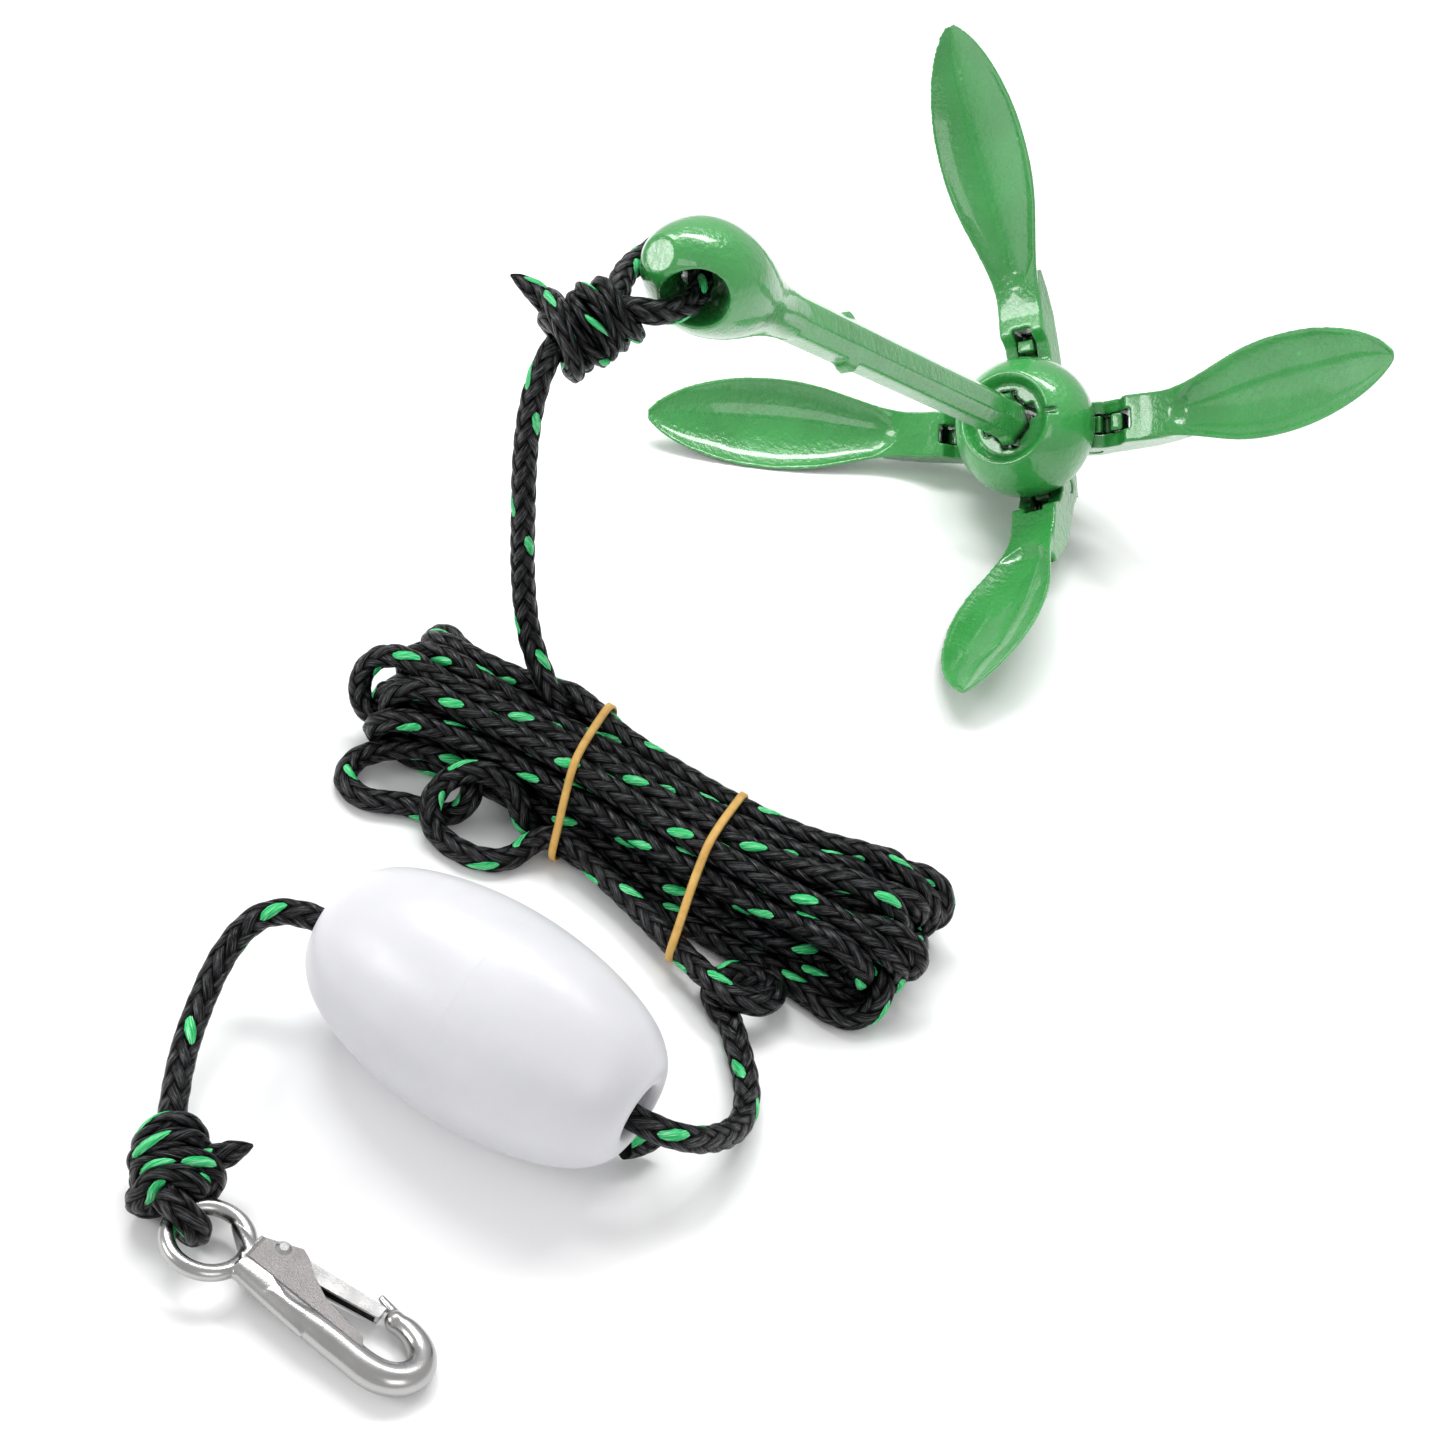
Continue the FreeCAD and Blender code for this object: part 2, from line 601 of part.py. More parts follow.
def hook_loop_route():
    """Rope round the ring's bar: over it, down through the ring and back below it."""
    bar = HOOK_PLACE + LOOP_WAY * RING_RADIUS
    up = Vec(0, 0, 1)
    side = Vec(-LOOP_WAY.y, LOOP_WAY.x, 0) * 1.6
    near = ROPE_RADIUS + RING_BAR_RADIUS + 0.15
    part = near * math.tan(math.radians(22.5))
    return [
        bar + LOOP_WAY * 3.4 + up * near + side,
        bar - LOOP_WAY * part + up * near + side,
        bar - LOOP_WAY * near + up * part + side * 0.4,
        bar - LOOP_WAY * near - up * part - side * 0.4,
        bar - LOOP_WAY * part - up * near - side,
        bar + LOOP_WAY * 3.4 - up * near - side,
    ]


# ---- everything ---------------------------------------------------------------------------------------
def build():
    """Every node of the object, by name."""
    place = stand_placement()
    nodes = {"shank": stand(shank())}
    blank = fluke()
    for name, (azimuth, fold) in FLUKES.items():
        nodes["fluke_" + name] = placed(blank, place.multiply(fluke_placement(azimuth, fold)))
        nodes["fluke_pin_" + name] = stand(turned(fluke_pin(), azimuth))
    nodes["collar"] = stand(collar())
    nodes["anchor_loop"] = rope_tube("anchor_loop", [place.multVec(point) for point in LOOP_ROUTE_LOCAL])
    nodes["anchor_knot"] = knot_barrel(ANCHOR_KNOT_TOP, ANCHOR_KNOT_FOOT, ANCHOR_KNOT_RADIUS)
    nodes["anchor_tail"] = rope_tube("anchor_tail", ANCHOR_TAIL)
    nodes["rope_lead"] = rope_tube("rope_lead", LEAD_ROUTE)
    nodes["hank"] = hank()
    for name, index in BANDS.items():
        nodes[name] = band(index)
    nodes["rope_float"] = rope_tube("rope_float", FLOAT_ROUTE)
    nodes["float_body"] = float_body()
    nodes["float_tail"] = rope_tube("float_tail", FLOAT_TAIL)
    nodes["hook_knot"] = knot_barrel(HOOK_KNOT_TOP, HOOK_KNOT_FOOT, HOOK_KNOT_RADIUS)
    nodes["hook_tail"] = rope_tube("hook_tail", HOOK_TAIL)
    nodes["hook_loop"] = rope_tube("hook_loop", hook_loop_route())
    hook = hook_placement()
    nodes["hook_body"] = placed(hook_body(), hook)
    nodes["hook_gate"] = placed(hook_gate(), hook)
    nodes["hook_rivet"] = placed(hook_rivet(), hook)
    nodes["hook_spring"] = placed(hook_spring(), hook)
    return nodes


os.makedirs("parts", exist_ok=True)
for node, solid in build().items():
    box = solid.BoundBox
    print(node, solid.isValid(), len(solid.Solids), "z", round(box.ZMin, 2), round(box.ZMax, 2))
    solid.exportStep("parts/" + node + ".step")
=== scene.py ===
import math

import bmesh
import bpy
import numpy as np
from mathutils import Matrix, Vector


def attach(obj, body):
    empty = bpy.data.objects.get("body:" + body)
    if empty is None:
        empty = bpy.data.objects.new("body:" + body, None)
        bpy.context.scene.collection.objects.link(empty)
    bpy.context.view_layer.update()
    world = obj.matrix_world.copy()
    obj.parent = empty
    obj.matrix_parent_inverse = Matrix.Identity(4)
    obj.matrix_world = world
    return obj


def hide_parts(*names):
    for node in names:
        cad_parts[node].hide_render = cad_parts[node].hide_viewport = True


# Looks of the folding grapnel anchor, its braided line, float and snap hook.
# Everything is in metres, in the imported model's frame.

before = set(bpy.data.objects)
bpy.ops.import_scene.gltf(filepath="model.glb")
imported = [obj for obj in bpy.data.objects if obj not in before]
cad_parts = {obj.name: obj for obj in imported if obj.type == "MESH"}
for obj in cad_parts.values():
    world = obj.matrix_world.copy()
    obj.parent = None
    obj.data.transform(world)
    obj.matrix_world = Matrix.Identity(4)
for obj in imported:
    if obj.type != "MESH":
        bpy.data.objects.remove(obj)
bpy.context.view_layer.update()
MM = 0.001
RNG = np.random.default_rng(24)

ROPE_RADIUS = 3.4 * MM
ROOT = "anchor_and_line"


# ---- camera, light and floor -------------------------------------------------------------------
CAMERA_PLACE = Vector((-0.0586, -0.6079, 0.4152))
CAMERA_ELEVATION = math.radians(40.1)
CAMERA_ROLL = math.radians(15.8)
CAMERA_LENS = 49.8


def make_camera():
    """The camera looks along +Y and down, turned about its own axis."""
    forward = Vector((0, math.cos(CAMERA_ELEVATION), -math.sin(CAMERA_ELEVATION)))
    down = Vector((0, -math.sin(CAMERA_ELEVATION), -math.cos(CAMERA_ELEVATION)))
    right = Vector((1, 0, 0))
    across = right * math.cos(CAMERA_ROLL) - down * math.sin(CAMERA_ROLL)
    drop = right * math.sin(CAMERA_ROLL) + down * math.cos(CAMERA_ROLL)
    columns = Matrix((across, -drop, -forward)).transposed()
    data = bpy.data.cameras.new("camera")
    data.lens = CAMERA_LENS
    data.sensor_width = 36.0
    data.clip_start = 0.01
    camera = bpy.data.objects.new("camera", data)
    camera.matrix_world = Matrix.Translation(CAMERA_PLACE) @ columns.to_4x4()
    bpy.context.scene.collection.objects.link(camera)
    bpy.context.scene.camera = camera


def make_light(name, place, target, size, power):
    """A soft rectangular light that faces a target."""
    data = bpy.data.lights.new(name, "AREA")
    data.shape = "RECTANGLE"
    data.size, data.size_y = size
    data.energy = power
    light = bpy.data.objects.new(name, data)
    light.location = Vector(place)
    light.rotation_euler = (Vector(target) - Vector(place)).to_track_quat("-Z", "Y").to_euler()
    bpy.context.scene.collection.objects.link(light)


def make_studio():
    """Pale floor, white surroundings, and four soft lights."""
    mesh = bpy.data.meshes.new("floor")
    side = 6.0
    mesh.from_pydata(
        [(-side, -side, 0), (side, -side, 0), (side, side, 0), (-side, side, 0)], [], [(0, 1, 2, 3)]
    )
    floor = bpy.data.objects.new("floor", mesh)
    bpy.context.scene.collection.objects.link(floor)
    material = bpy.data.materials.new("floor")
    material.use_nodes = True
    shader = material.node_tree.nodes["Principled BSDF"]
    shader.inputs["Base Color"].default_value = (0.93, 0.93, 0.935, 1)
    shader.inputs["Roughness"].default_value = 0.55
    shader.inputs["Specular IOR Level"].default_value = 0.25
    mesh.materials.append(material)
    world = bpy.data.worlds.new("studio")
    world.use_nodes = True
    world.node_tree.nodes["Background"].inputs["Color"].default_value = (1.0, 1.0, 1.0, 1)
    world.node_tree.nodes["Background"].inputs["Strength"].default_value = 0.62
    bpy.context.scene.world = world
    bpy.context.scene.view_settings.view_transform = "Standard"
    middle = (-0.03, -0.1, 0.05)
    make_light("key", (-0.55, 0.35, 1.25), middle, (0.6, 0.6), 10.0)
    make_light("back", (0.12, 0.55, 1.30), middle, (0.75, 0.20), 8.0)
    make_light("side", (-1.15, -0.62, 0.62), middle, (0.5, 0.35), 5.0)
    make_light("front", (0.60, -1.10, 0.78), middle, (0.7, 0.5), 2.5)


# ---- node helpers ------------------------------------------------------------------------------
class Nodes:
    """Short calls for building one material's nodes."""

    def __init__(self, name):
        self.material = bpy.data.materials.new(name)
        self.material.use_nodes = True
        self.tree = self.material.node_tree
        self.shader = self.tree.nodes["Principled BSDF"]

    def add(self, kind, **settings):
        node = self.tree.nodes.new(kind)
        for key, value in settings.items():
            setattr(node, key, value)
        return node

    def link(self, source, target):
        self.tree.links.new(source, target)

    def put(self, socket, value):
        """A number is set on the socket, and an output is linked to it."""
        if hasattr(value, "links"):
            self.link(value, socket)
        else:
            socket.default_value = value

    def maths(self, operation, first, second=0.0):
        node = self.add("ShaderNodeMath", operation=operation)
        self.put(node.inputs[0], first)
        self.put(node.inputs[1], second)
        return node.outputs[0]

    def noise(self, vector, scale, detail=3.0, roughness=0.55):
        node = self.add("ShaderNodeTexNoise")
        self.link(vector, node.inputs["Vector"])
        node.inputs["Scale"].default_value = scale
        node.inputs["Detail"].default_value = detail
        node.inputs["Roughness"].default_value = roughness
        return node.outputs["Fac"]

    def ramp(self, value, stops):
        """A colour ramp from (position, colour) stops."""
        node = self.add("ShaderNodeValToRGB")
        self.link(value, node.inputs[0])
        elements = node.color_ramp.elements
        for index, (position, colour) in enumerate(stops):
            element = elements[index] if index < 2 else elements.new(position)
            element.position = position
            element.color = (*colour, 1)
        return node.outputs["Color"]

    def mix(self, share, first, second):
        node = self.add("ShaderNodeMix", data_type="RGBA")
        self.put(node.inputs[0], share)
        for socket, value in ((node.inputs[6], first), (node.inputs[7], second)):
            if hasattr(value, "links"):
                self.link(value, socket)
            else:
                socket.default_value = (*value, 1)
        return node.outputs[2]

    def span(self, value, low, high, to_low, to_high):
        node = self.add("ShaderNodeMapRange")
        self.link(value, node.inputs["Value"])
        node.inputs["From Min"].default_value = low
        node.inputs["From Max"].default_value = high
        node.inputs["To Min"].default_value = to_low
        node.inputs["To Max"].default_value = to_high
        return node.outputs["Result"]

    def bump(self, height, distance, strength=1.0, after=None):
        node = self.add("ShaderNodeBump")
        node.inputs["Strength"].default_value = strength
        node.inputs["Distance"].default_value = distance
        self.link(height, node.inputs["Height"])
        if after is not None:
            self.link(after, node.inputs["Normal"])
        return node.outputs["Normal"]

    def place(self):
        return self.add("ShaderNodeTexCoord").outputs["Object"]

    def nook(self, distance, low, high):
        """How open the surface is to the room: 0 deep in a nook, 1 in the open; the materials paint
        shade with it.
        """
        node = self.add("ShaderNodeAmbientOcclusion", samples=8)
        node.inputs["Distance"].default_value = distance
        return self.span(node.outputs["AO"], low, high, 0.0, 1.0)

    def set(self, name, value):
        self.put(self.shader.inputs[name], value)


# ---- materials ---------------------------------------------------------------------------------
ENAMEL_DEEP = (0.022, 0.235, 0.040)
ENAMEL_BRIGHT = (0.042, 0.340, 0.070)
# Paler green painted on convex edges as a highlight.
ENAMEL_EDGE_HIGHLIGHT = (0.12, 0.50, 0.16)
FLECK_TAPER = 0.38           # how quickly a tracer fleck narrows to its ends: 0 is square
FLECK_FRAY = 0.5             # how far single filaments leave the fleck's outline


def enamel_material():
    """Thick glossy green enamel over a sand casting: uneven colour, orange peel, painted highlights
    along convex edges and painted shade in nooks.
    """
    n = Nodes("anchor_enamel")
    place = n.place()
    cloud = n.noise(place, 28.0, 4.0, 0.6)
    colour = n.ramp(cloud, [(0.30, ENAMEL_DEEP), (0.72, ENAMEL_BRIGHT)])
    # Painted highlight: convex edges are painted paler green, standing in for bright rim highlights.
    pointed = n.add("ShaderNodeNewGeometry").outputs["Pointiness"]
    edge = n.span(pointed, 0.52, 0.62, 0.0, 0.55)
    colour = n.mix(edge, colour, ENAMEL_EDGE_HIGHLIGHT)
    # Painted shade: the colour falls towards near black in nooks, slots and gaps between parts.
    shadow = tuple(0.12 * c for c in ENAMEL_DEEP)
    n.set("Base Color", n.mix(n.nook(7 * MM, 0.25, 0.80), shadow, colour))
    patch = n.noise(place, 60.0, 5.0, 0.6)
    n.set("Roughness", n.span(patch, 0.3, 0.7, 0.20, 0.36))
    n.set("Specular IOR Level", 0.55)
    n.set("Coat Weight", 0.9)
    n.set("Coat Roughness", 0.08)
    lumps = n.noise(place, 140.0, 3.0, 0.5)
    grain = n.noise(place, 520.0, 2.0, 0.5)
    soft = n.bump(lumps, 0.8 * MM, 0.6)
    n.set("Normal", n.bump(grain, 0.5 * MM, 0.8, soft))
    return n.material


def rope_material():
    """Braided filament: each strand's filaments, the tracer strands, sheen and fine bump, with
    painted shade in the crevices and painted glints on the filaments.
    """
    n = Nodes("rope")
    uv = n.add("ShaderNodeUVMap", uv_map="braid").outputs["UV"]
    parts = n.add("ShaderNodeSeparateXYZ")
    n.link(uv, parts.inputs[0])
    turn = n.maths("MULTIPLY", parts.outputs[0], float(BRAID_STRANDS))
    run = n.maths("MULTIPLY", parts.outputs[1], BRAID_UNIT / BRAID_CELL)
    one = n.maths("ADD", turn, run)
    two = n.maths("SUBTRACT", turn, run)
    one_index = n.maths("FLOOR", one)
    two_index = n.maths("FLOOR", two)
    phase = n.maths("FLOORED_MODULO", n.maths("ADD", one_index, two_index), 4.0)
    over = n.maths("LESS_THAN", phase, 1.5)
    under = n.maths("SUBTRACT", 1.0, over)
    one_part = n.maths("FRACT", one)
    two_part = n.maths("FRACT", two)
    across = n.maths("ADD", n.maths("MULTIPLY", one_part, over), n.maths("MULTIPLY", two_part, under))
    along = n.maths("ADD", n.maths("MULTIPLY", two, over), n.maths("MULTIPLY", one, under))
    index = n.maths("ADD", n.maths("MULTIPLY", one_index, over),
                    n.maths("MULTIPLY", two_index, under))
    lie = n.add("ShaderNodeCombineXYZ")
    n.link(n.maths("MULTIPLY", across, 7.0), lie.inputs[0])
    n.link(n.maths("MULTIPLY", along, 0.55), lie.inputs[1])
    n.link(n.maths("MULTIPLY", index, 3.7), lie.inputs[2])
    filament = n.noise(lie.outputs[0], 1.6, 3.0, 0.65)
    over_part = n.maths("MULTIPLY", two_part, over)
    under_part = n.maths("SUBTRACT", n.maths("MULTIPLY", one_part, under),
                         n.maths("MULTIPLY", under, 2.0))
    share = n.maths("MULTIPLY", n.maths("ADD", phase, n.maths("ADD", over_part, under_part)), 0.5)
    arch = n.maths("SINE", n.maths("MULTIPLY", share, math.pi))
    dome = n.maths("MULTIPLY", n.maths("MULTIPLY", across, n.maths("SUBTRACT", 1.0, across)), 4.0)
    height = n.maths("MULTIPLY", n.maths("POWER", dome, 0.5),
                     n.maths("ADD", n.maths("MULTIPLY", arch, 0.55), 0.45))
    # The pale streaks at the top of both ramps are painted glints, on the black strands and on the
    # green tracer flecks.
    black_with_painted_glints = n.ramp(filament, [(0.40, (0.0010, 0.0011, 0.0014)), (0.56, (0.0040, 0.0044, 0.0055)),
                              (0.72, (0.060, 0.066, 0.082))])
    green = n.ramp(filament, [(0.30, (0.008, 0.30, 0.075)), (0.50, (0.030, 0.58, 0.17)),
                              (0.68, (0.30, 0.88, 0.48))])
    tracer = n.maths("LESS_THAN", n.maths("FLOORED_MODULO", one_index, float(BRAID_STRANDS)), 0.5)
    tracer = n.maths("MULTIPLY", tracer, over)
    fray = n.maths("MULTIPLY", n.maths("SUBTRACT", filament, 0.5), FLECK_FRAY)
    lens = n.maths("ADD", n.maths("POWER", arch, FLECK_TAPER), fray)
    away = n.maths("ABSOLUTE", n.maths("SUBTRACT", n.maths("MULTIPLY", across, 2.0), 1.0))
    tracer = n.maths("MULTIPLY", tracer, n.maths("LESS_THAN", away, lens))
    # Painted shade: the colour falls to near black in the crevices between strands and in nooks.
    crest = n.maths("MULTIPLY", n.span(height, 0.25, 0.75, 0.0, 1.0), n.nook(4 * MM, 0.15, 0.75))
    shade = n.mix(crest, (0.0004, 0.0004, 0.0006), black_with_painted_glints)
    n.set("Base Color", n.mix(tracer, shade, green))
    n.set("Roughness", n.span(filament, 0.25, 0.75, 0.40, 0.28))
    glint = n.maths("MULTIPLY", n.span(filament, 0.42, 0.70, 0.10, 1.0),
                    n.span(crest, 0.0, 1.0, 0.1, 1.0))
    n.set("Specular IOR Level", glint)
    first = n.bump(height, 0.0010, 1.0)
    n.set("Normal", n.bump(filament, 0.0005, 0.8, first))
    return n.material


def band_material():
    """Ochre natural rubber, dusty and slightly mottled."""
    n = Nodes("rubber_band")
    place = n.place()
    cloud = n.noise(place, 240.0, 4.0, 0.6)
    n.set("Base Color", n.ramp(cloud, [(0.3, (0.50, 0.27, 0.055)), (0.7, (0.68, 0.42, 0.11))]))
    n.set("Roughness", n.span(cloud, 0.3, 0.7, 0.42, 0.6))
    n.set("Subsurface Weight", 0.08)
    n.set("Subsurface Scale", 0.002)
    n.set("Normal", n.bump(n.noise(place, 1500.0), 0.0001, 0.5))
    return n.material


def float_material(axis_start, axis_way, length):
    """White foam-filled plastic: satin gloss, a faint moulding line round its middle."""
    n = Nodes("float_plastic")
    place = n.place()
    shift = n.add("ShaderNodeVectorMath", operation="SUBTRACT")
    n.link(place, shift.inputs[0])
    shift.inputs[1].default_value = axis_start
    dot = n.add("ShaderNodeVectorMath", operation="DOT_PRODUCT")
    n.link(shift.outputs[0], dot.inputs[0])
    dot.inputs[1].default_value = axis_way
    gap = n.maths("ABSOLUTE", n.maths("SUBTRACT", dot.outputs["Value"], length / 2))
    seam = n.span(gap, 0.0, 0.0009, 1.0, 0.0)
    cloud = n.noise(place, 45.0, 4.0, 0.55)
    colour = n.ramp(cloud, [(0.3, (0.60, 0.60, 0.63)), (0.7, (0.645, 0.645, 0.675))])
    n.set("Base Color", n.mix(n.maths("MULTIPLY", seam, 0.05), colour, (0.56, 0.57, 0.60)))
    n.set("Roughness", n.span(n.noise(place, 150.0, 4.0), 0.3, 0.7, 0.30, 0.42))
    n.set("Subsurface Weight", 0.12)
    n.set("Subsurface Scale", 0.006)
    n.set("Specular IOR Level", 0.5)
    grain = n.bump(n.noise(place, 900.0, 2.0), 0.00006, 0.5)
    n.set("Normal", n.bump(seam, 0.00012, 0.3, grain))
    return n.material


def steel_material(name, rough, colour, speckle):
    """Stainless steel: polished round work or the satin flats of the stamped web."""
    n = Nodes(name)
    place = n.place()
    dots = n.noise(place, 2600.0, 2.0, 0.6)
    cloud = n.noise(place, 120.0, 4.0, 0.6)
    low = tuple(c * (1 - 0.28 * speckle) for c in colour)
    mottle = n.maths("ADD", n.maths("MULTIPLY", dots, 0.6), n.maths("MULTIPLY", cloud, 0.4))
    n.set("Base Color", n.ramp(mottle, [(0.38, low), (0.60, colour)]))
    n.set("Metallic", 1.0)
    n.set("Roughness", n.span(cloud, 0.3, 0.7, rough * 0.75, rough * 1.3))
    n.set("Normal", n.bump(dots, 0.00005 + 0.00012 * speckle, 0.25 + 0.4 * speckle))
    return n.material


# ---- meshes ------------------------------------------------------------------------------------
def new_object(name, vertices, faces, material):
    mesh = bpy.data.meshes.new(name)
    mesh.from_pydata([tuple(v) for v in vertices], [], faces)
    mesh.polygons.foreach_set("use_smooth", [True] * len(mesh.polygons))
    mesh.materials.append(material)
    mesh.update()
    piece = bpy.data.objects.new(name, mesh)
    bpy.context.scene.collection.objects.link(piece)
    return piece


def nurbs_line(name, points):
    """The points of a smooth NURBS line with these control points, closely and evenly spaced."""
    curve = bpy.data.curves.new(name, "CURVE")
    curve.dimensions = "3D"
    spline = curve.splines.new("NURBS")
    spline.points.add(len(points) - 1)
    for point, place in zip(spline.points, points):
        point.co = (*place, 1.0)
    spline.order_u = 3
    spline.use_endpoint_u = True
    spline.resolution_u = 8
    guide = bpy.data.objects.new(name, curve)
    bpy.context.scene.collection.objects.link(guide)
    bpy.context.view_layer.update()
    mesh = bpy.data.meshes.new_from_object(guide)
    line = np.array([v.co for v in mesh.vertices])
    bpy.data.objects.remove(guide)
    bpy.data.meshes.remove(mesh)
    return line


def spaced(line, step):
    """The same line with evenly spaced points, and the distance along it at each."""
    lengths = np.linalg.norm(np.diff(line, axis=0), axis=1)
    run = np.concatenate([[0.0], np.cumsum(lengths)])
    count = max(int(round(run[-1] / step)), 4)
    wanted = np.linspace(0.0, run[-1], count + 1)
    even = np.stack([np.interp(wanted, run, line[:, axis]) for axis in range(3)], axis=1)
    return even, wanted


def carried_frames(line):
    """Two directions square to the line at each point, carried along it without twist."""
    ways = np.gradient(line, axis=0)
    ways /= np.linalg.norm(ways, axis=1)[:, None]
    first = np.zeros_like(line)
    start = np.cross(ways[0], (0.0, 0.0, 1.0))
    if np.linalg.norm(start) < 0.2:
        start = np.cross(ways[0], (0.0, 1.0, 0.0))
    first[0] = start / np.linalg.norm(start)
    for i in range(1, len(line)):
        carried = first[i - 1] - ways[i] * np.dot(first[i - 1], ways[i])
        first[i] = carried / np.linalg.norm(carried)
    return first, np.cross(ways, first)


# ---- braided rope ------------------------------------------------------------------------------
BRAID_STRANDS = 6            # strands in each direction
BRAID_CELL = 6.6 * MM        # length of rope from one strand to the next of the same direction
BRAID_UNIT = 0.1             # metres of rope in one unit of the second texture coordinate
BRAID_RELIEF = 0.60 * MM     # height of a strand's crown above the crevices
MEAN_RELIEF = 0.55           # share of that height at which the nominal radius lies


def braid_height(turn, run):
    """How proud the upper strand stands, from 0 to 1, at a share of a turn and a distance."""
    one = turn * BRAID_STRANDS + run / BRAID_CELL
    two = turn * BRAID_STRANDS - run / BRAID_CELL
    phase = np.mod(np.floor(one) + np.floor(two), 4)
    over = phase < 1.5
    one_part = one - np.floor(one)
    two_part = two - np.floor(two)
    across = np.where(over, one_part, two_part)
    along = np.where(over, phase + two_part, phase - 2 + one_part) / 2
    return np.sqrt(4 * across * (1 - across)) * (0.35 + 0.65 * np.sin(np.pi * along))


def braid_tube(name, line, material, radius=ROPE_RADIUS, step=0.8 * MM, sides=30, start_turn=0.0,
               taper=None, squeeze=None, phase=0.0):
    """A rope along a line, with its strands in relief. taper scales it from end to end, and
    squeeze is (share, way): its section is flattened by that share along that direction."""
    even, run = spaced(line, step)
    first, second = carried_frames(even)
    count = len(even)
    turn = np.arange(sides) / sides
    angle = 2 * np.pi * turn
    relief = braid_height(turn[None, :], run[:, None] + phase)
    deep = BRAID_RELIEF * radius / ROPE_RADIUS
    reach = radius + deep * (relief - MEAN_RELIEF)
    if taper is not None:
        reach = reach * np.interp(run / run[-1], *taper)[:, None]
    rim = (
        first[:, None, :] * np.cos(angle + 2 * np.pi * start_turn)[None, :, None]
        + second[:, None, :] * np.sin(angle + 2 * np.pi * start_turn)[None, :, None]
    )
    offset = rim * reach[:, :, None]
    if squeeze is not None:
        share, way = squeeze
        way = way / np.linalg.norm(way, axis=-1, keepdims=True)
        way = np.broadcast_to(way, (count, 3))
        offset = offset - way[:, None, :] * ((offset * way[:, None, :]).sum(2) * share)[:, :, None]
    vertices = (even[:, None, :] + offset).reshape(-1, 3)
    vertices = np.vstack([vertices, even[0], even[-1]])
    ring = np.arange(count - 1)[:, None] * sides
    side = np.arange(sides)[None, :]
    after = (side + 1) % sides
    quads = np.stack([ring + side, ring + after, ring + sides + after, ring + sides + side], axis=2)
    faces = quads.reshape(-1, 4).tolist()
    head, tail = count * sides, count * sides + 1
    last = (count - 1) * sides
    faces += [(head, (k + 1) % sides, k) for k in range(sides)]
    faces += [(tail, last + k, last + (k + 1) % sides) for k in range(sides)]
    piece = new_object(name, vertices, faces, material)
    low = np.broadcast_to(side / sides, (count - 1, sides))
    high = np.broadcast_to((side + 1) / sides, (count - 1, sides))
    near = np.broadcast_to(((run[:-1] + phase) / BRAID_UNIT)[:, None], (count - 1, sides))
    far = np.broadcast_to(((run[1:] + phase) / BRAID_UNIT)[:, None], (count - 1, sides))
    quad_uv = np.stack([low, near, high, near, high, far, low, far], axis=2).reshape(-1)
    end_uv = np.tile([0.5, run[0] / BRAID_UNIT], 3 * sides)
    uv = np.concatenate([quad_uv, end_uv, end_uv]).astype(np.float32)
    piece.data.uv_layers.new(name="braid").data.foreach_set("uv", uv)
    return piece


# ---- places and routes that repeat the design's, in metres -------------------------------------
def metres(points):
    return [tuple(c * MM for c in point) for point in points]


def placed(place, *turns):
    """The matrix that turns by each (axis, degrees), the last one first, and then moves."""
    matrix = Matrix.Translation(place)
    for axis, degrees in turns:
        matrix = matrix @ Matrix.Rotation(math.radians(degrees), 4, axis)
    return matrix


LEAD_ROUTE = metres([
    (-128.6, -142.6, 136.4), (-131.0, -144.6, 131.6), (-132.6, -146.1, 116.4), (-131.4, -147.8, 99.3),
    (-128.8, -148.6, 81.8), (-126.5, -148.1, 63.2), (-122.2, -150.0, 46.6), (-117.1, -153.7, 36.0),
])
FLOAT_ROUTE = metres([
    (-31.1, -249.1, 5.2), (-25.5, -262.1, 4.6), (-24.9, -275.1, 6.4), (-30.1, -287.1, 13.0),
    (-38.9, -297.7, 21.6), (-52.5, -300.5, 27.0), (-83.5, -287.9, 26.4), (-115.5, -275.3, 26.2),
    (-143.5, -264.9, 27.4), (-158.5, -266.5, 26.4), (-164.1, -278.5, 21.4), (-164.9, -294.1, 15.2),
    (-163.5, -310.1, 12.0), (-158.9, -326.1, 11.6),
])
LOOP_ROUTE_LOCAL = metres([
    (-10.2, -14.8, 258.6), (-8.0, -14.2, 256.6), (-5.0, -14.9, 254.0), (-2.4, -15.0, 249.8),
    (0.2, -13.6, 244.8), (1.9, -10.2, 239.2), (1.2, -4.5, 233.4), (-1.0, 3.5, 229.8),
    (-3.6, 9.4, 228.6), (-8.4, 14.0, 227.2), (-14.0, 14.0, 226.8), (-16.9, 11.0, 228.6),
    (-17.7, 8.0, 233.2), (-16.8, 4.0, 239.6), (-15.6, -1.0, 246.4), (-13.9, -6.2, 251.6),
    (-11.2, -11.0, 256.2), (-12.6, -13.4, 259.0),
])
ANCHOR_TAIL = metres([(-132.7, -136.0, 140.9), (-138.7, -133.0, 144.5), (-146.1, -132.8, 146.1)])
HOOK_TAIL = metres([(-147.5, -334.5, 12.6), (-142.9, -331.9, 13.6), (-138.1, -328.1, 14.6)])
FLOAT_TAIL = metres([(-53.5, -293.1, 7.0), (-49.5, -289.7, 5.6), (-44.5, -287.7, 4.4)])
ANCHOR_KNOT = metres([(-112.9, -132.4, 148.2), (-130.3, -144.0, 133.4)])
HOOK_KNOT = metres([(-158.5, -327.5, 11.6), (-151.0, -346.3, 10.8)])
COLLAR_CENTRE = Vector((20.7, 55.6, 36.4)) * MM
HOOK_RING = Vector((-139.7, -351.9, 9.0)) * MM
STAND = placed(COLLAR_CENTRE, ("Z", -126.0), ("Y", 61.0), ("Z", 129.9))
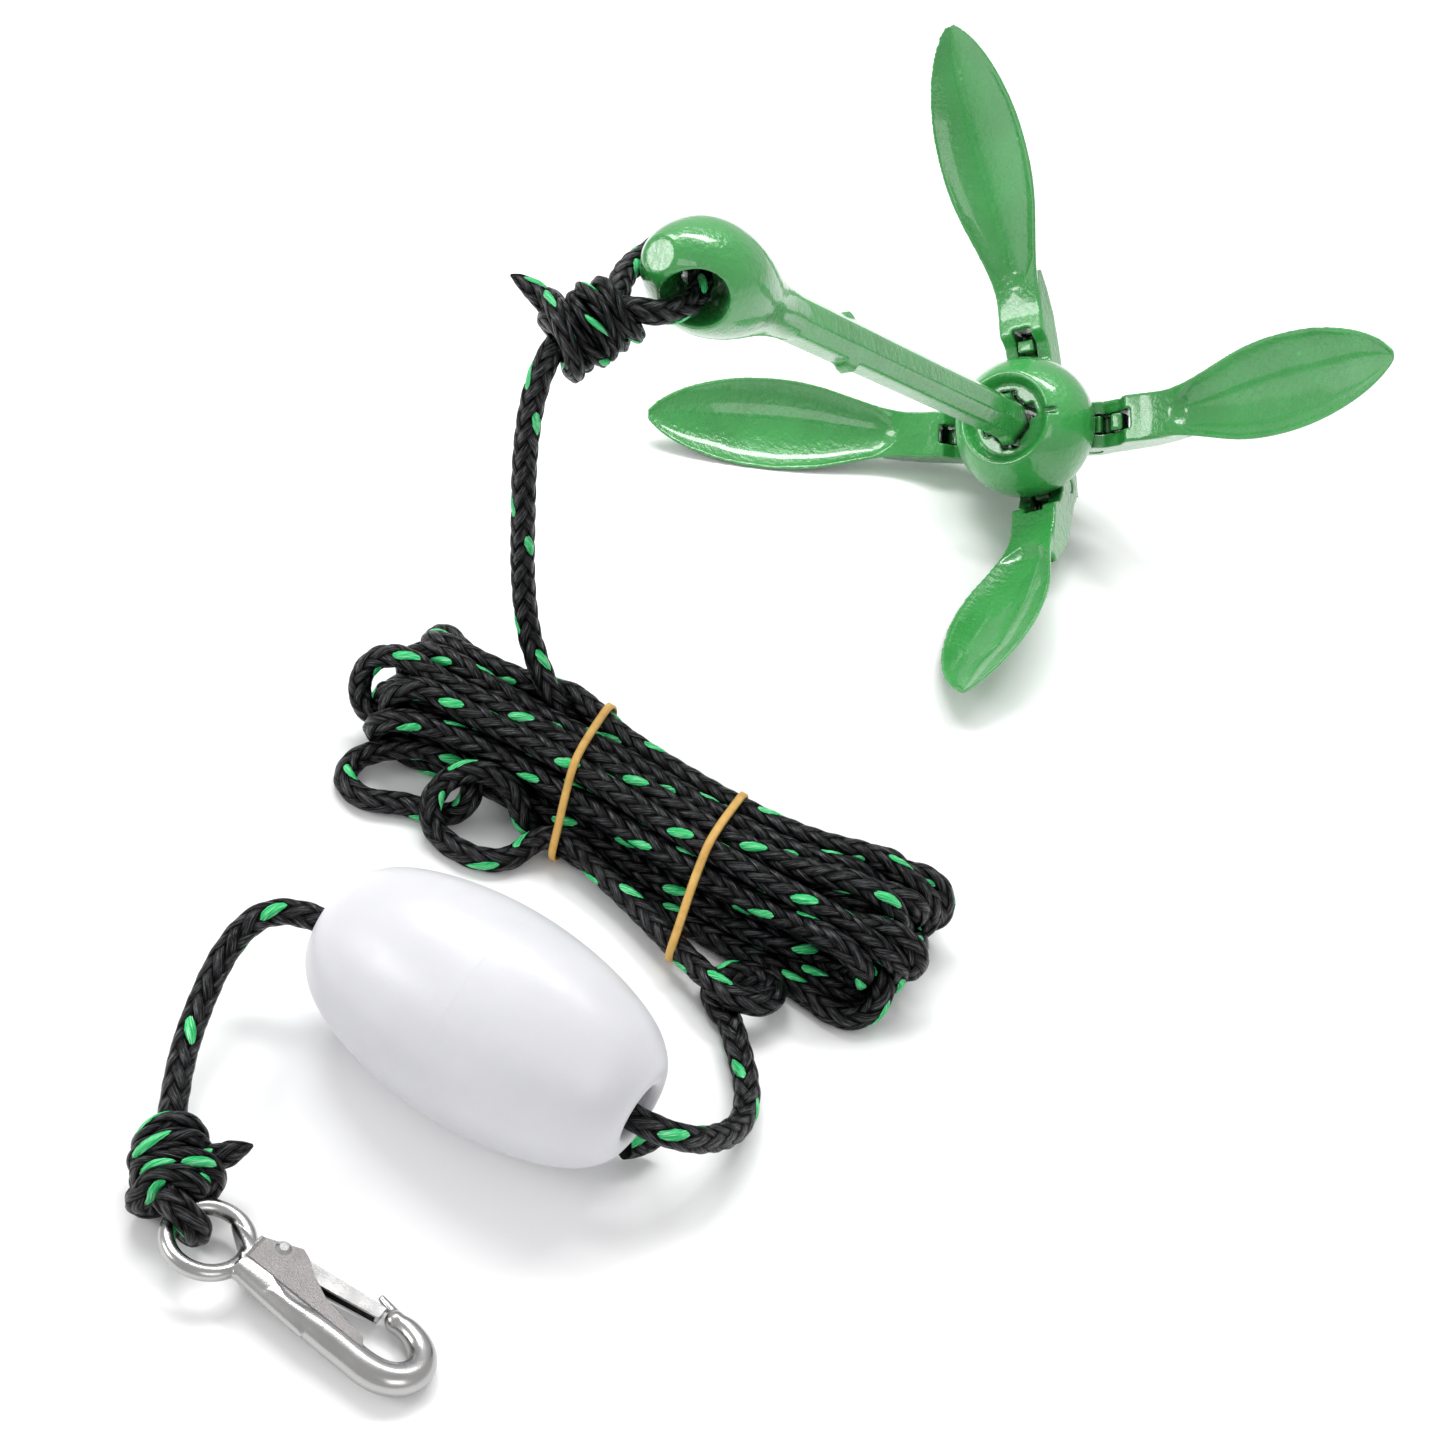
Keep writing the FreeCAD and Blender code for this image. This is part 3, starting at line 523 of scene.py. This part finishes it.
HOOK = placed(HOOK_RING, ("Z", -17.5), ("Y", 4.7), ("X", -10.0))
HOOK_LOOP_WAY = np.array([-0.90, 0.436, 0.0])
FLOAT_LEFT = np.array([-139.6, -265.6, 28.6]) * MM
FLOAT_RIGHT = np.array([-51.8, -299.2, 28.6]) * MM
FLOAT_RADIUS = 28.6 * MM

# ---- hank --------------------------------------------------------------------------------------
HANK_LINE = np.array([
    (-170.0, -154.0), (-157.5, -157.0), (-147.5, -159.0), (-128.5, -163.0), (-102.5, -170.3),
    (-78.5, -179.3), (-56.0, -189.3), (-28.5, -197.6), (-3.5, -200.6), (11.5, -201.6), (30.0, -202.5),
]) * MM
COLUMN = 7.3 * MM
ROW = 6.5 * MM
FLOOR_ROW = 3.5 * MM
STRAND_GAP = 6.7 * MM
BEAD = 4.2 * MM
FOLD_RADIUS = 9.5 * MM       # the fold that settling opens every tighter one towards
SETTLE_ROUNDS = 170
LEFT_END = -144.0 * MM
RIGHT_END = -7.0 * MM
HANK_MIDDLE = -0.071
FIRST_PASS_START = -104 * MM
LAST_PASS_END = -66 * MM
LAST_SLOT = (-3.0, 1.0)


def hank_frame(x):
    """Centre and across direction of the hank where its middle line passes x."""
    y = np.interp(x, HANK_LINE[:, 0], HANK_LINE[:, 1])
    slope = (np.interp(x + 0.01, HANK_LINE[:, 0], HANK_LINE[:, 1])
             - np.interp(x - 0.01, HANK_LINE[:, 0], HANK_LINE[:, 1])) / 0.02
    way = np.array([1.0, slope, 0.0])
    way /= np.linalg.norm(way)
    return np.array([x, y, 0.0]), way, np.array([-way[1], way[0], 0.0])


def slot_place(slot, x):
    """Where a strand of the bundle lies: slot is (column, row) counted from the middle and floor.
    The bundle is narrowest between its bands and spreads towards its ends."""
    centre, _, across = hank_frame(x)
    spread = 0.94 + 0.24 * np.clip(abs(x - HANK_MIDDLE) / abs(HANK_MIDDLE) - 0.45, 0, 1)
    return centre + across * (slot[0] * COLUMN * spread) + np.array([0, 0, FLOOR_ROW + slot[1] * ROW])


def hank_pairs():
    """Slots of each turn's upper and lower pass, from the far side of the bundle to the near one."""
    pairs = [((c, 4.0), (c, 0.0)) for c in (1.5, 0.5, -0.5, -1.5)]
    pairs += [((c, 3.0), (c, 1.0)) for c in (2.0, 1.0, 0.0, -1.0, -2.0)]
    pairs += [((2.5, 2.0), (2.5, 0.0)), ((1.5, 2.0), (3.0, 1.0)), ((0.5, 2.0), (-0.5, 2.0)),
              ((-1.5, 2.0), (-2.5, 0.0))]
    return sorted(pairs, key=lambda pair: -(pair[0][0] + pair[1][0]))


def pass_points(slot, x_from, x_to):
    """One pass of rope along the bundle."""
    count = max(int(abs(x_to - x_from) / BEAD), 3)
    sway = RNG.normal(0, 0.55 * MM, (4, 2))
    points = []
    for share in np.linspace(0, 1, count + 1):
        x = x_from + (x_to - x_from) * share
        wave = sway[0] * math.sin(3.1 * share) + sway[1] * math.sin(6.3 * share + sway[2][0] * 900)
        point = slot_place(slot, x)
        points.append(point + np.array([0, wave[0], abs(wave[1])]))
    return points


LOOSE_LOOP_1 = metres([
    (-128, -178, 16), (-140, -176, 14), (-152, -175, 12), (-161, -178, 8.5), (-163, -184, 5),
    (-157, -189.5, 4), (-146, -191, 4), (-133, -191, 5), (-120, -192, 7),
])
LOOSE_LOOP_2 = metres([
    (-104, -186, 17), (-112, -184.5, 19), (-123, -185, 17), (-132, -188.5, 12), (-134, -195, 7),
    (-127, -200.5, 4.5), (-115, -203, 4.5), (-103, -205, 5),
])
LOOSE_LOOPS = ((-100 * MM, LOOSE_LOOP_2), (-124 * MM, LOOSE_LOOP_1))   # the last turn's first
EXIT_LOOP = metres([
    (-58, -219, 11), (-49, -226.5, 11), (-42.5, -234, 9.5), (-35, -238.5, 8), (-27.5, -236.5, 8),
    (-24, -229.5, 9), (-27, -222, 7), (-34, -218, 4), (-38.5, -223, 3.6), (-37.5, -231, 3.6),
    (-34.5, -240.5, 3.8),
])


def fold_points(start, finish, outward, radius, reach, tilt):
    """A loop of rope from one pass round to the next, opened wider than their gap."""
    middle = (start + finish) / 2 + outward * reach
    up = finish - start
    up = up - outward * np.dot(up, outward)
    gap = np.linalg.norm(up)
    up = up / gap
    side = np.cross(outward, up)
    up = up * math.cos(tilt) + side * math.sin(tilt)
    radius = max(radius, gap / 2)
    points = []
    for angle in np.radians(np.linspace(-105, 105, 9)):
        points.append(middle + outward * (radius * math.cos(angle)) + up * (radius * math.sin(angle)))
    low = min(point[2] for point in points)
    if low < FLOOR_ROW:
        points = [point + np.array([0, 0, FLOOR_ROW - low]) for point in points]
    return points


def hank_route():
    """Every point of the rope through its hank, before it is settled."""
    pairs = hank_pairs()
    left = [LEFT_END + RNG.uniform(-4, 9) * MM for _ in pairs]
    right = [RIGHT_END + RNG.uniform(-10, 5) * MM for _ in pairs]
    points = []
    for j, (upper, lower) in enumerate(pairs):
        x_start = FIRST_PASS_START if j == 0 else left[j - 1]
        points += pass_points(upper, x_start, right[j])
        start = slot_place(upper, right[j])
        finish = slot_place(lower, right[j])
        reach = RNG.uniform(5, 12) * MM + (7 * MM if j in (0, 3) else 0)
        points += fold_points(start, finish, hank_frame(right[j])[1], RNG.uniform(9.5, 13.5) * MM,
                              reach, RNG.uniform(-0.5, 0.5))
        turns_left = len(pairs) - 1 - j
        if turns_left < len(LOOSE_LOOPS):
            left[j], loose = LOOSE_LOOPS[turns_left]
            points += pass_points(lower, right[j], left[j])
            points += [np.array(p) for p in loose]
            continue
        end = left[j]
        points += pass_points(lower, right[j], end)
        start = slot_place(lower, end)
        finish = slot_place(pairs[j + 1][0], end)
        points += fold_points(start, finish, -hank_frame(end)[1], RNG.uniform(9.5, 12.5) * MM,
                              RNG.uniform(3, 9) * MM, RNG.uniform(-0.4, 0.4))
    points += pass_points(LAST_SLOT, left[-1], LAST_PASS_END)
    return np.array(points)


def settle(points, fixed, rounds):
    """Moves the beads of the rope until its strands lie beside each other, clear of the floor."""
    rest = points.copy()
    index = np.arange(len(points))
    for turn in range(rounds):
        if turn % 8 == 0:
            gaps = points[:, None, :] - points[None, :, :]
            near = (gaps ** 2).sum(2) < (STRAND_GAP * 1.6) ** 2
            near &= np.abs(index[:, None] - index[None, :]) > 3
            pairs = np.argwhere(np.triu(near))
        gap = points[pairs[:, 0]] - points[pairs[:, 1]]
        far = np.linalg.norm(gap, axis=1)
        close = far < STRAND_GAP
        push = gap[close] * ((STRAND_GAP - far[close]) / np.maximum(far[close], 1e-5))[:, None] * 0.5
        move = np.zeros_like(points)
        hits = np.zeros(len(points))
        for column, sign in ((0, 1), (1, -1)):
            np.add.at(move, pairs[close][:, column], sign * push)
            np.add.at(hits, pairs[close][:, column], 1)
        points = points + move / np.maximum(hits, 1)[:, None] * 1.3
        step = np.diff(points, axis=0)
        size = np.linalg.norm(step, axis=1)
        wanted = np.clip(size, 0.80 * BEAD, 1.15 * BEAD)
        fix = step * ((size - wanted) / np.maximum(size, 1e-6))[:, None]
        points[:-1] += fix * 0.4
        points[1:] -= fix * 0.4
        for reach in (1, 2, 3):
            chord = points[2 * reach:] - points[:-2 * reach]
            size = np.linalg.norm(chord, axis=1)
            least = 2 * FOLD_RADIUS * math.sin(reach * BEAD / FOLD_RADIUS)
            push = chord * (np.maximum(least - size, 0.0) / np.maximum(size, 1e-6))[:, None] * 0.3
            points[2 * reach:] += push
            points[:-2 * reach] -= push
        middle = (points[:-2] + points[2:]) / 2
        points[1:-1] += (middle - points[1:-1]) * 0.22
        points += (rest - points) * 0.012
        points[:, 2] -= 0.05 * MM
        points[:, 2] = np.maximum(points[:, 2], FLOOR_ROW)
        points[fixed] = rest[fixed]
    return points


LEAD_FREE = 6                # beads of the lead's end that settle with the hank
EXIT_FREE = 20               # beads of the exit loop that settle with the hank


def rope_route():
    """The whole rope from the anchor's knot to the hook's knot."""
    bridge_in = metres([(-111.6, -160.1, 33.6), (-105.7, -165.1, 31.6)])
    start = spaced(nurbs_line("lead_guide", LEAD_ROUTE + bridge_in), BEAD)[0]
    middle = spaced(hank_route(), BEAD)[0]
    finish = spaced(nurbs_line("float_guide", EXIT_LOOP + FLOAT_ROUTE), BEAD)[0]
    points = np.vstack([start, middle, finish])
    fixed = np.zeros(len(points), bool)
    fixed[:len(start) - LEAD_FREE] = True
    fixed[len(points) - len(finish) + EXIT_FREE:] = True
    return settle(points, fixed, SETTLE_ROUNDS)


def make_rope(material):
    """The rope in one piece, through hank and float."""
    control = rope_route()
    line = nurbs_line("rope_guide", [tuple(point) for point in control])
    even, run = spaced(line, 2.5 * MM)
    rope = braid_tube("rope", line, material, step=1.05 * MM, sides=24)
    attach(rope, ROOT)
    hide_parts("rope_lead", "hank", "rope_float")
    return rope, even, run[-1]


# ---- knots, tails and the loops through eye and ring -------------------------------------------
KNOT_STRAND = 3.3 * MM


def rope_piece(name, points, material, node, **settings):
    """A short length of rope that stands in for one CAD node."""
    line = nurbs_line(name + "_guide", [tuple(p) for p in points])
    piece = braid_tube(name, line, material, **settings)
    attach(piece, ROOT)
    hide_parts(node)


def knot(name, node, ends, radius, turns, start, cross, squeeze, material):
    """Rope up through the knot, down round it in close turns, and one crossing turn at its foot.
    start is the first turn's angle, and cross is how much of a turn the crossing makes."""
    top, foot = (np.array(end) for end in ends)
    length = np.linalg.norm(foot - top)
    way = (foot - top) / length
    first = np.cross(way, (0.0, 0.0, 1.0))
    first /= np.linalg.norm(first)
    second = np.cross(way, first)
    ring = radius - KNOT_STRAND
    points = [foot - way * 2 * MM, top + way * length * 0.45, top + way * 1.5 * MM]
    for share in np.linspace(0, 1, int(turns * 12) + 1):
        angle = start + 2 * math.pi * turns * share
        reach = ring * (0.80 + 0.20 * math.sin(math.pi * min(1.0, 0.12 + 0.80 * share)))
        slip = 0.8 * MM * math.sin(2.3 * angle) + 0.4 * MM * math.sin(0.9 * angle)
        reach *= 1 + 0.05 * math.sin(0.61 * angle + 0.7) + 0.03 * math.sin(3.4 * angle)
        points.append(top + way * (length * (0.10 + 0.80 * share) + slip)
                      + (first * math.cos(angle) + second * math.sin(angle)) * reach)
    last = start + 2 * math.pi * turns
    for share in np.linspace(0.08, 1, 12):
        angle = last + 2 * math.pi * cross * share
        reach = ring * 0.85 + KNOT_STRAND * 1.5 * math.sin(math.pi * share)
        lift = length * (0.94 - 0.30 * math.sin(math.pi * share * 0.5))
        points.append(top + way * lift + (first * math.cos(angle) + second * math.sin(angle)) * reach)
    points = [np.array([*point[:2], max(point[2], KNOT_STRAND + 0.3 * MM)]) for point in points]
    rope_piece(name, points, material, node, radius=KNOT_STRAND, squeeze=(squeeze, way),
               start_turn=0.5)


RING_BAR_OUT = 9.4 * MM      # from the ring's centre to the middle of its bar
RING_LOOP_REACH = 5.55 * MM  # from the middle of the bar to the middle of the rope round it
RING_LOOP_LEG = 3.4 * MM     # how far the loop's legs run on past the bar
RING_LOOP_SKEW = 1.6 * MM    # sideways step of each leg, so that they pass each other


def make_ties(material):
    """Both knots with their tails, the loops through eye and ring, and the float's tail."""
    knot("anchor_knot_turns", "anchor_knot", ANCHOR_KNOT, 11.4 * MM, 5.2, 0.8, 0.85, 0.28, material)
    knot("hook_knot_turns", "hook_knot", HOOK_KNOT, 9.8 * MM, 3.6, 2.2, 0.8, 0.15, material)
    eye_loop = [tuple(STAND @ Vector(p)) for p in LOOP_ROUTE_LOCAL]
    rope_piece("eye_loop", eye_loop, material, "anchor_loop", phase=0.021)
    taper = ((0.0, 0.55, 0.85, 1.0), (1.0, 0.86, 0.45, 0.10))
    for name, node, route, phase in (
        ("anchor_tail_end", "anchor_tail", ANCHOR_TAIL, 0.004),
        ("hook_tail_end", "hook_tail", HOOK_TAIL, 0.013),
        ("float_tail_end", "float_tail", FLOAT_TAIL, 0.009),
    ):
        rope_piece(name, route, material, node, taper=taper, phase=phase, step=0.7 * MM)
    bar = np.array([*(HOOK @ Vector((0, 0, 0)))]) + HOOK_LOOP_WAY * RING_BAR_OUT
    near = RING_LOOP_REACH
    up = np.array([0, 0, 1.0])
    side = np.array([-HOOK_LOOP_WAY[1], HOOK_LOOP_WAY[0], 0.0]) * RING_LOOP_SKEW
    part = near * math.tan(math.radians(22.5))
    ring_loop = [
        bar + HOOK_LOOP_WAY * RING_LOOP_LEG + up * near + side,
        bar - HOOK_LOOP_WAY * part + up * near + side,
        bar - HOOK_LOOP_WAY * near + up * part + side * 0.4,
        bar - HOOK_LOOP_WAY * near - up * part - side * 0.4,
        bar - HOOK_LOOP_WAY * part - up * near - side,
        bar + HOOK_LOOP_WAY * RING_LOOP_LEG - up * near - side,
    ]
    rope_piece("ring_loop", ring_loop, material, "hook_loop", phase=0.030)


# ---- rubber bands ------------------------------------------------------------------------------
BANDS = (                    # name, CAD node, x on the hank's middle line, slant along the hank
    ("band_left", "band_1", -94.0 * MM, -0.27),
    ("band_right", "band_2", -50.0 * MM, -0.15),
)
BAND_WIDTH = 2.6 * MM
BAND_THICKNESS = 0.9 * MM


def convex_outline(points):
    """The points of the convex outline, in order round it."""
    points = sorted(map(tuple, points))
    outline = []
    for run in (points, points[::-1]):
        part = []
        for point in run:
            while len(part) > 1 and ((part[-1][0] - part[-2][0]) * (point[1] - part[-2][1])
                                     <= (part[-1][1] - part[-2][1]) * (point[0] - part[-2][0])):
                part.pop()
            part.append(point)
        outline += part[:-1]
    return np.array(outline)


def make_band(name, node, x, lean, line, material):
    """A flat rubber band drawn tight round every strand at x; lean slants it along the hank."""
    centre, way, across = hank_frame(x)
    offset = line - centre
    sideways = offset @ across
    near = (np.abs(offset @ way - lean * sideways) < 4 * MM) & (np.abs(sideways) < 45 * MM)
    angle = np.linspace(0, 2 * math.pi, 16, endpoint=False)
    reach = ROPE_RADIUS + 0.45 * MM
    disc = np.stack([np.cos(angle), np.sin(angle)], axis=1) * reach
    strands = np.stack([sideways[near], line[near][:, 2]], axis=1)
    outline = convex_outline((strands[:, None, :] + disc[None]).reshape(-1, 2))
    loop = np.vstack([outline, outline[:1]])
    closed, _ = spaced(np.column_stack([loop, np.zeros(len(loop))]), 1.2 * MM)
    ring = closed[:-1, :2]
    for _ in range(4):
        ring = (np.roll(ring, 1, 0) + 2 * ring + np.roll(ring, -1, 0)) / 4
    out = np.roll(ring, -1, 0) - np.roll(ring, 1, 0)
    out = np.stack([out[:, 1], -out[:, 0]], axis=1)
    out /= np.linalg.norm(out, axis=1)[:, None]
    count = len(ring)
    wave = np.sin(np.arange(count) * 4 * math.pi / count + 1.0) * 1.1 * MM
    section = [(-0.5, 0.25), (-0.32, 1.0), (0.32, 1.0), (0.5, 0.25), (0.32, 0.0), (-0.32, 0.0)]
    vertices = []
    for wide, thick in section:
        flat = ring + out * (thick * BAND_THICKNESS)
        flat[:, 1] = np.maximum(flat[:, 1], 0.25 * MM + 0.2 * MM * thick)
        run = lean * flat[:, 0] + wave + wide * BAND_WIDTH
        up = np.array([0, 0, 1.0])
        vertices.append(centre + across * flat[:, :1] + way * run[:, None] + up * flat[:, 1:])
    vertices = np.stack(vertices, axis=1).reshape(-1, 3)
    size = len(section)
    faces = [(i * size + k, i * size + (k + 1) % size, ((i + 1) % count) * size + (k + 1) % size,
              ((i + 1) % count) * size + k) for i in range(count) for k in range(size)]
    piece = new_object(name, vertices, faces, material)
    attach(piece, ROOT)
    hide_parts(node)


# ---- castings, hook and float ------------------------------------------------------------------
BLOCK_FACES = ((0, 2, 3, 1), (4, 5, 7, 6), (0, 1, 5, 4), (2, 6, 7, 3), (0, 4, 6, 2), (1, 3, 7, 5))


def add_block(mesh, corners):
    """Adds a closed six-sided block to a mesh; corners run x fastest, then y, then z."""
    work = bmesh.new()
    work.from_mesh(mesh)
    points = [work.verts.new(corner) for corner in corners]
    for face in BLOCK_FACES:
        work.faces.new([points[k] for k in face])
    work.to_mesh(mesh)
    work.free()


def slot_block():
    """Corners of the metal that closes the outer end of a fluke's slot, in the fluke's frame."""
    return [(x * MM, y * MM, z * MM) for z in (-6.0, 2.0) for y in (-4.4, 4.4) for x in (15.9, 19.5)]


def softened(node, voxel, rounds, materials, body, extra=None):
    """A copy of a CAD node with every edge softened, as a casting or a tumbled forging has.
    extra is (matrix, corners) of one more block of metal that joins it."""
    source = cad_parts[node]
    blank = source.data.copy()
    if extra is not None:
        home, corners = extra
        into = source.matrix_world.inverted() @ home
        add_block(blank, [into @ Vector(corner) for corner in corners])
    piece = bpy.data.objects.new(node + "_soft", blank)
    piece.matrix_world = source.matrix_world
    bpy.context.scene.collection.objects.link(piece)
    remesh = piece.modifiers.new("remesh", "REMESH")
    remesh.mode = "VOXEL"
    remesh.voxel_size = voxel
    smooth = piece.modifiers.new("smooth", "SMOOTH")
    smooth.factor = 0.5
    smooth.iterations = rounds
    bpy.context.view_layer.update()
    result = piece.evaluated_get(bpy.context.evaluated_depsgraph_get())
    mesh = bpy.data.meshes.new_from_object(result)
    piece.modifiers.clear()
    piece.data = mesh
    mesh.materials.clear()
    for material in materials:
        mesh.materials.append(material)
    mesh.polygons.foreach_set("use_smooth", [True] * len(mesh.polygons))
    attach(piece, body)
    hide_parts(node)
    return piece


FLUKES = {                   # azimuth about the shank and fold above square, degrees
    "right": (-2.0, -2.7), "up": (92.4, -2.4), "left": (175.6, 15.0), "low": (275.0, 23.4),
}
FLUKE_PIN = Vector((21.5, 0.0, -15.4)) * MM
# The palm's numbers are in mm in the fluke's own frame, with x out from the pin.
PALM_OUT = (22.0, 34.0, 46.0, 60.0, 76.0, 92.0, 106.0, 115.0, 119.4)
PALM_HALF = (8.6, 8.9, 11.6, 15.6, 17.4, 16.0, 11.6, 6.2, 1.6)
PALM_RIM = 1.1
HOLLOW_DEPTH = 2.5
HOLLOW_ROOT = 32.0
HOLLOW_TIP = 119.0


def fluke_frame(name):
    """From a fluke's own frame, out along x and up along the shank, to the model's."""
    azimuth, fold = FLUKES[name]
    return STAND @ Matrix.Rotation(math.radians(azimuth), 4, "Z") @ placed(FLUKE_PIN, ("Y", -fold))


def ease(value, low, high):
    share = np.clip((value - low) / (high - low), 0.0, 1.0)
    return share * share * (3 - 2 * share)


def hollow_palm(piece, name):
    """Presses the palm's hollow deeper, with a round root end and a narrow rim left all round."""
    home = fluke_frame(name)
    turn = np.array(home.to_3x3())
    origin = np.array(home.translation)
    mesh = piece.data
    count = len(mesh.vertices)
    place = np.zeros(count * 3)
    normal = np.zeros(count * 3)
    mesh.vertices.foreach_get("co", place)
    mesh.vertices.foreach_get("normal", normal)
    local = (place.reshape(-1, 3) - origin) @ turn / MM
    facing = (normal.reshape(-1, 3) @ turn)[:, 2]
    out, across = local[:, 0], np.abs(local[:, 1])
    half = np.interp(out, PALM_OUT, PALM_HALF) - PALM_RIM
    half *= np.sqrt(np.clip((out - HOLLOW_ROOT) / 10.0, 0.0, 1.0))
    bowl = np.clip(1 - (across / np.maximum(half, 0.1)) ** 2, 0.0, 1.0) ** 0.75
    depth = HOLLOW_DEPTH * ease(out, HOLLOW_ROOT, 40.0) * (1 - 0.75 * ease(out, 92.0, 116.0)) * bowl
    above = (facing > 0.25) & (out > HOLLOW_ROOT) & (out < HOLLOW_TIP)
    local[:, 2] -= np.where(above, depth, 0.0)
    mesh.vertices.foreach_set("co", (local * MM @ turn.T + origin).reshape(-1))
    mesh.update()


# The hook's own numbers are in mm in its own frame, with x along its length.
BAR_LINE = ((9.6, 20.0, 32.0, 44.0), (-1.4, -2.3, -3.4, -4.4))   # the back bar's middle, x and y
BAR_HALF = 1.6
WEB_FACE = 2.45              # height of the web's flat faces above the hook's middle plane
CAD_FACE = 2.9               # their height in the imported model
WEB_START, WEB_STOP = 9.6, 47.0
WEB_OUTLINE = ((9.6, 1.0), (9.8, 6.4), (18.6, 10.0), (21.0, 8.8), (24.2, 6.0), (30.6, 2.4),
               (38.0, 0.6))


def press_web(piece):
    """Lowers the web's flat faces, so that the bar stands above them along a clean line, and
    gives those faces the hook's second material."""
    turn = np.array(HOOK.to_3x3())
    origin = np.array(HOOK.translation)
    mesh = piece.data
    place = np.zeros(len(mesh.vertices) * 3)
    mesh.vertices.foreach_get("co", place)
    local = (place.reshape(-1, 3) - origin) @ turn / MM
    x, y, height = local[:, 0], local[:, 1], np.abs(local[:, 2])
    edge = np.interp(x, *BAR_LINE) + BAR_HALF
    share = ease(y, edge - 0.3, edge + 0.5)
    share *= ease(x, WEB_START, 10.4) * (1 - ease(x, 43.0, WEB_STOP))
    lower = height + (WEB_FACE - height) * share
    away = (height > 2.0) & (x > WEB_START) & (x < WEB_STOP)
    away &= y < np.interp(x, *zip(*WEB_OUTLINE)) + 2.0
    local[:, 2] = np.sign(local[:, 2]) * np.where(away, np.minimum(height, lower), height)
    mesh.vertices.foreach_set("co", (local * MM @ turn.T + origin).reshape(-1))
    mesh.update()
    middle = np.zeros(len(mesh.polygons) * 3)
    facing = np.zeros(len(mesh.polygons) * 3)
    mesh.polygons.foreach_get("center", middle)
    mesh.polygons.foreach_get("normal", facing)
    middle = (middle.reshape(-1, 3) - origin) @ turn / MM
    flat = np.abs((facing.reshape(-1, 3) @ turn)[:, 2]) > 0.9
    x, y, height = middle[:, 0], middle[:, 1], np.abs(middle[:, 2])
    web = flat & (height > 2.2) & (height < 2.7) & (x > 10.0) & (x < 45.0)
    web &= (y > np.interp(x, *BAR_LINE) + BAR_HALF + 0.3) & (y < 11.0)
    mesh.polygons.foreach_set("material_index", web.astype(np.int32))


def set_rivet(material):
    """The rivet with its heads down on the lowered web."""
    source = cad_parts["hook_rivet"]
    mesh = source.data.copy()
    home = HOOK.inverted() @ source.matrix_world
    for vertex in mesh.vertices:
        place = home @ vertex.co / MM
        if abs(place.z) > 2.6:
            place.z -= math.copysign(CAD_FACE - WEB_FACE, place.z)
            vertex.co = home.inverted() @ (place * MM)
    mesh.materials.clear()
    mesh.materials.append(material)
    piece = bpy.data.objects.new("hook_rivet_set", mesh)
    piece.matrix_world = source.matrix_world
    bpy.context.scene.collection.objects.link(piece)
    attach(piece, ROOT)
    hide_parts("hook_rivet")


FLOAT_PROFILE = [            # radius and distance from an end, as a share of the middle's radius
    (0.236, 0.30), (0.240, 0.06), (0.285, 0.010), (0.36, 0.0), (0.47, 0.030), (0.60, 0.135),
    (0.74, 0.33), (0.875, 0.70), (0.965, 1.14),
]


def make_float(material):
    """Barrel-shaped float turned about its bore, with rounded lips."""
    axis = FLOAT_RIGHT - FLOAT_LEFT
    length = np.linalg.norm(axis)
    way = axis / length
    half = length / 2
    near = [(r * FLOAT_RADIUS, x * FLOAT_RADIUS) for r, x in FLOAT_PROFILE]
    control = [(r, 0.0, x) for r, x in near] + [(FLOAT_RADIUS, 0.0, half)]
    control += [(r, 0.0, length - x) for r, x in reversed(near)]
    line, _ = spaced(nurbs_line("float_profile", control), 1.1 * MM)
    first = np.cross(way, (0.0, 0.0, 1.0))
    first /= np.linalg.norm(first)
    second = np.cross(way, first)
    sides = 128
    angle = np.linspace(0, 2 * math.pi, sides, endpoint=False)
    rim = first[None] * np.cos(angle)[:, None] + second[None] * np.sin(angle)[:, None]
    vertices = (FLOAT_LEFT + way * line[:, None, 2:3] + rim[None] * line[:, None, 0:1]).reshape(-1, 3)
    count = len(line)
    faces = [(i % count * sides + k, i % count * sides + (k + 1) % sides,
              (i + 1) % count * sides + (k + 1) % sides, (i + 1) % count * sides + k)
             for i in range(count) for k in range(sides)]
    piece = new_object("float_turned", vertices, faces, material)
    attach(piece, "float")
    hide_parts("float_body")


def dress(node, material):
    """A material on a CAD node that keeps its own shape."""
    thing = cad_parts[node]
    thing.data.materials.clear()
    thing.data.materials.append(material)


make_camera()
make_studio()

rope_look = rope_material()
rope, rope_line, rope_length = make_rope(rope_look)
make_ties(rope_look)
band_look = band_material()
for name, node, x, lean in BANDS:
    make_band(name, node, x, lean, rope_line, band_look)

enamel = enamel_material()
softened("shank", 0.6 * MM, 9, [enamel], ROOT)
softened("collar", 0.55 * MM, 7, [enamel], "collar")
for name in ("right", "up", "left", "low"):
    palm = softened("fluke_" + name, 0.5 * MM, 9, [enamel], "fluke_" + name + "_body",
                    (fluke_frame(name), slot_block()))
    hollow_palm(palm, name)
    dress("fluke_pin_" + name, enamel)

polished = steel_material("hook_steel", 0.24, (0.46, 0.455, 0.45), 0.15)
satin = steel_material("hook_web", 0.45, (0.26, 0.25, 0.245), 1.0)
hook = softened("hook_body", 0.24 * MM, 8, [polished, satin], ROOT)
press_web(hook)
set_rivet(polished)
for node in ("hook_gate", "hook_spring"):
    dress(node, polished)
float_axis = FLOAT_RIGHT - FLOAT_LEFT
float_length = float(np.linalg.norm(float_axis))
make_float(float_material(tuple(FLOAT_LEFT), tuple(float_axis / float_length), float_length))
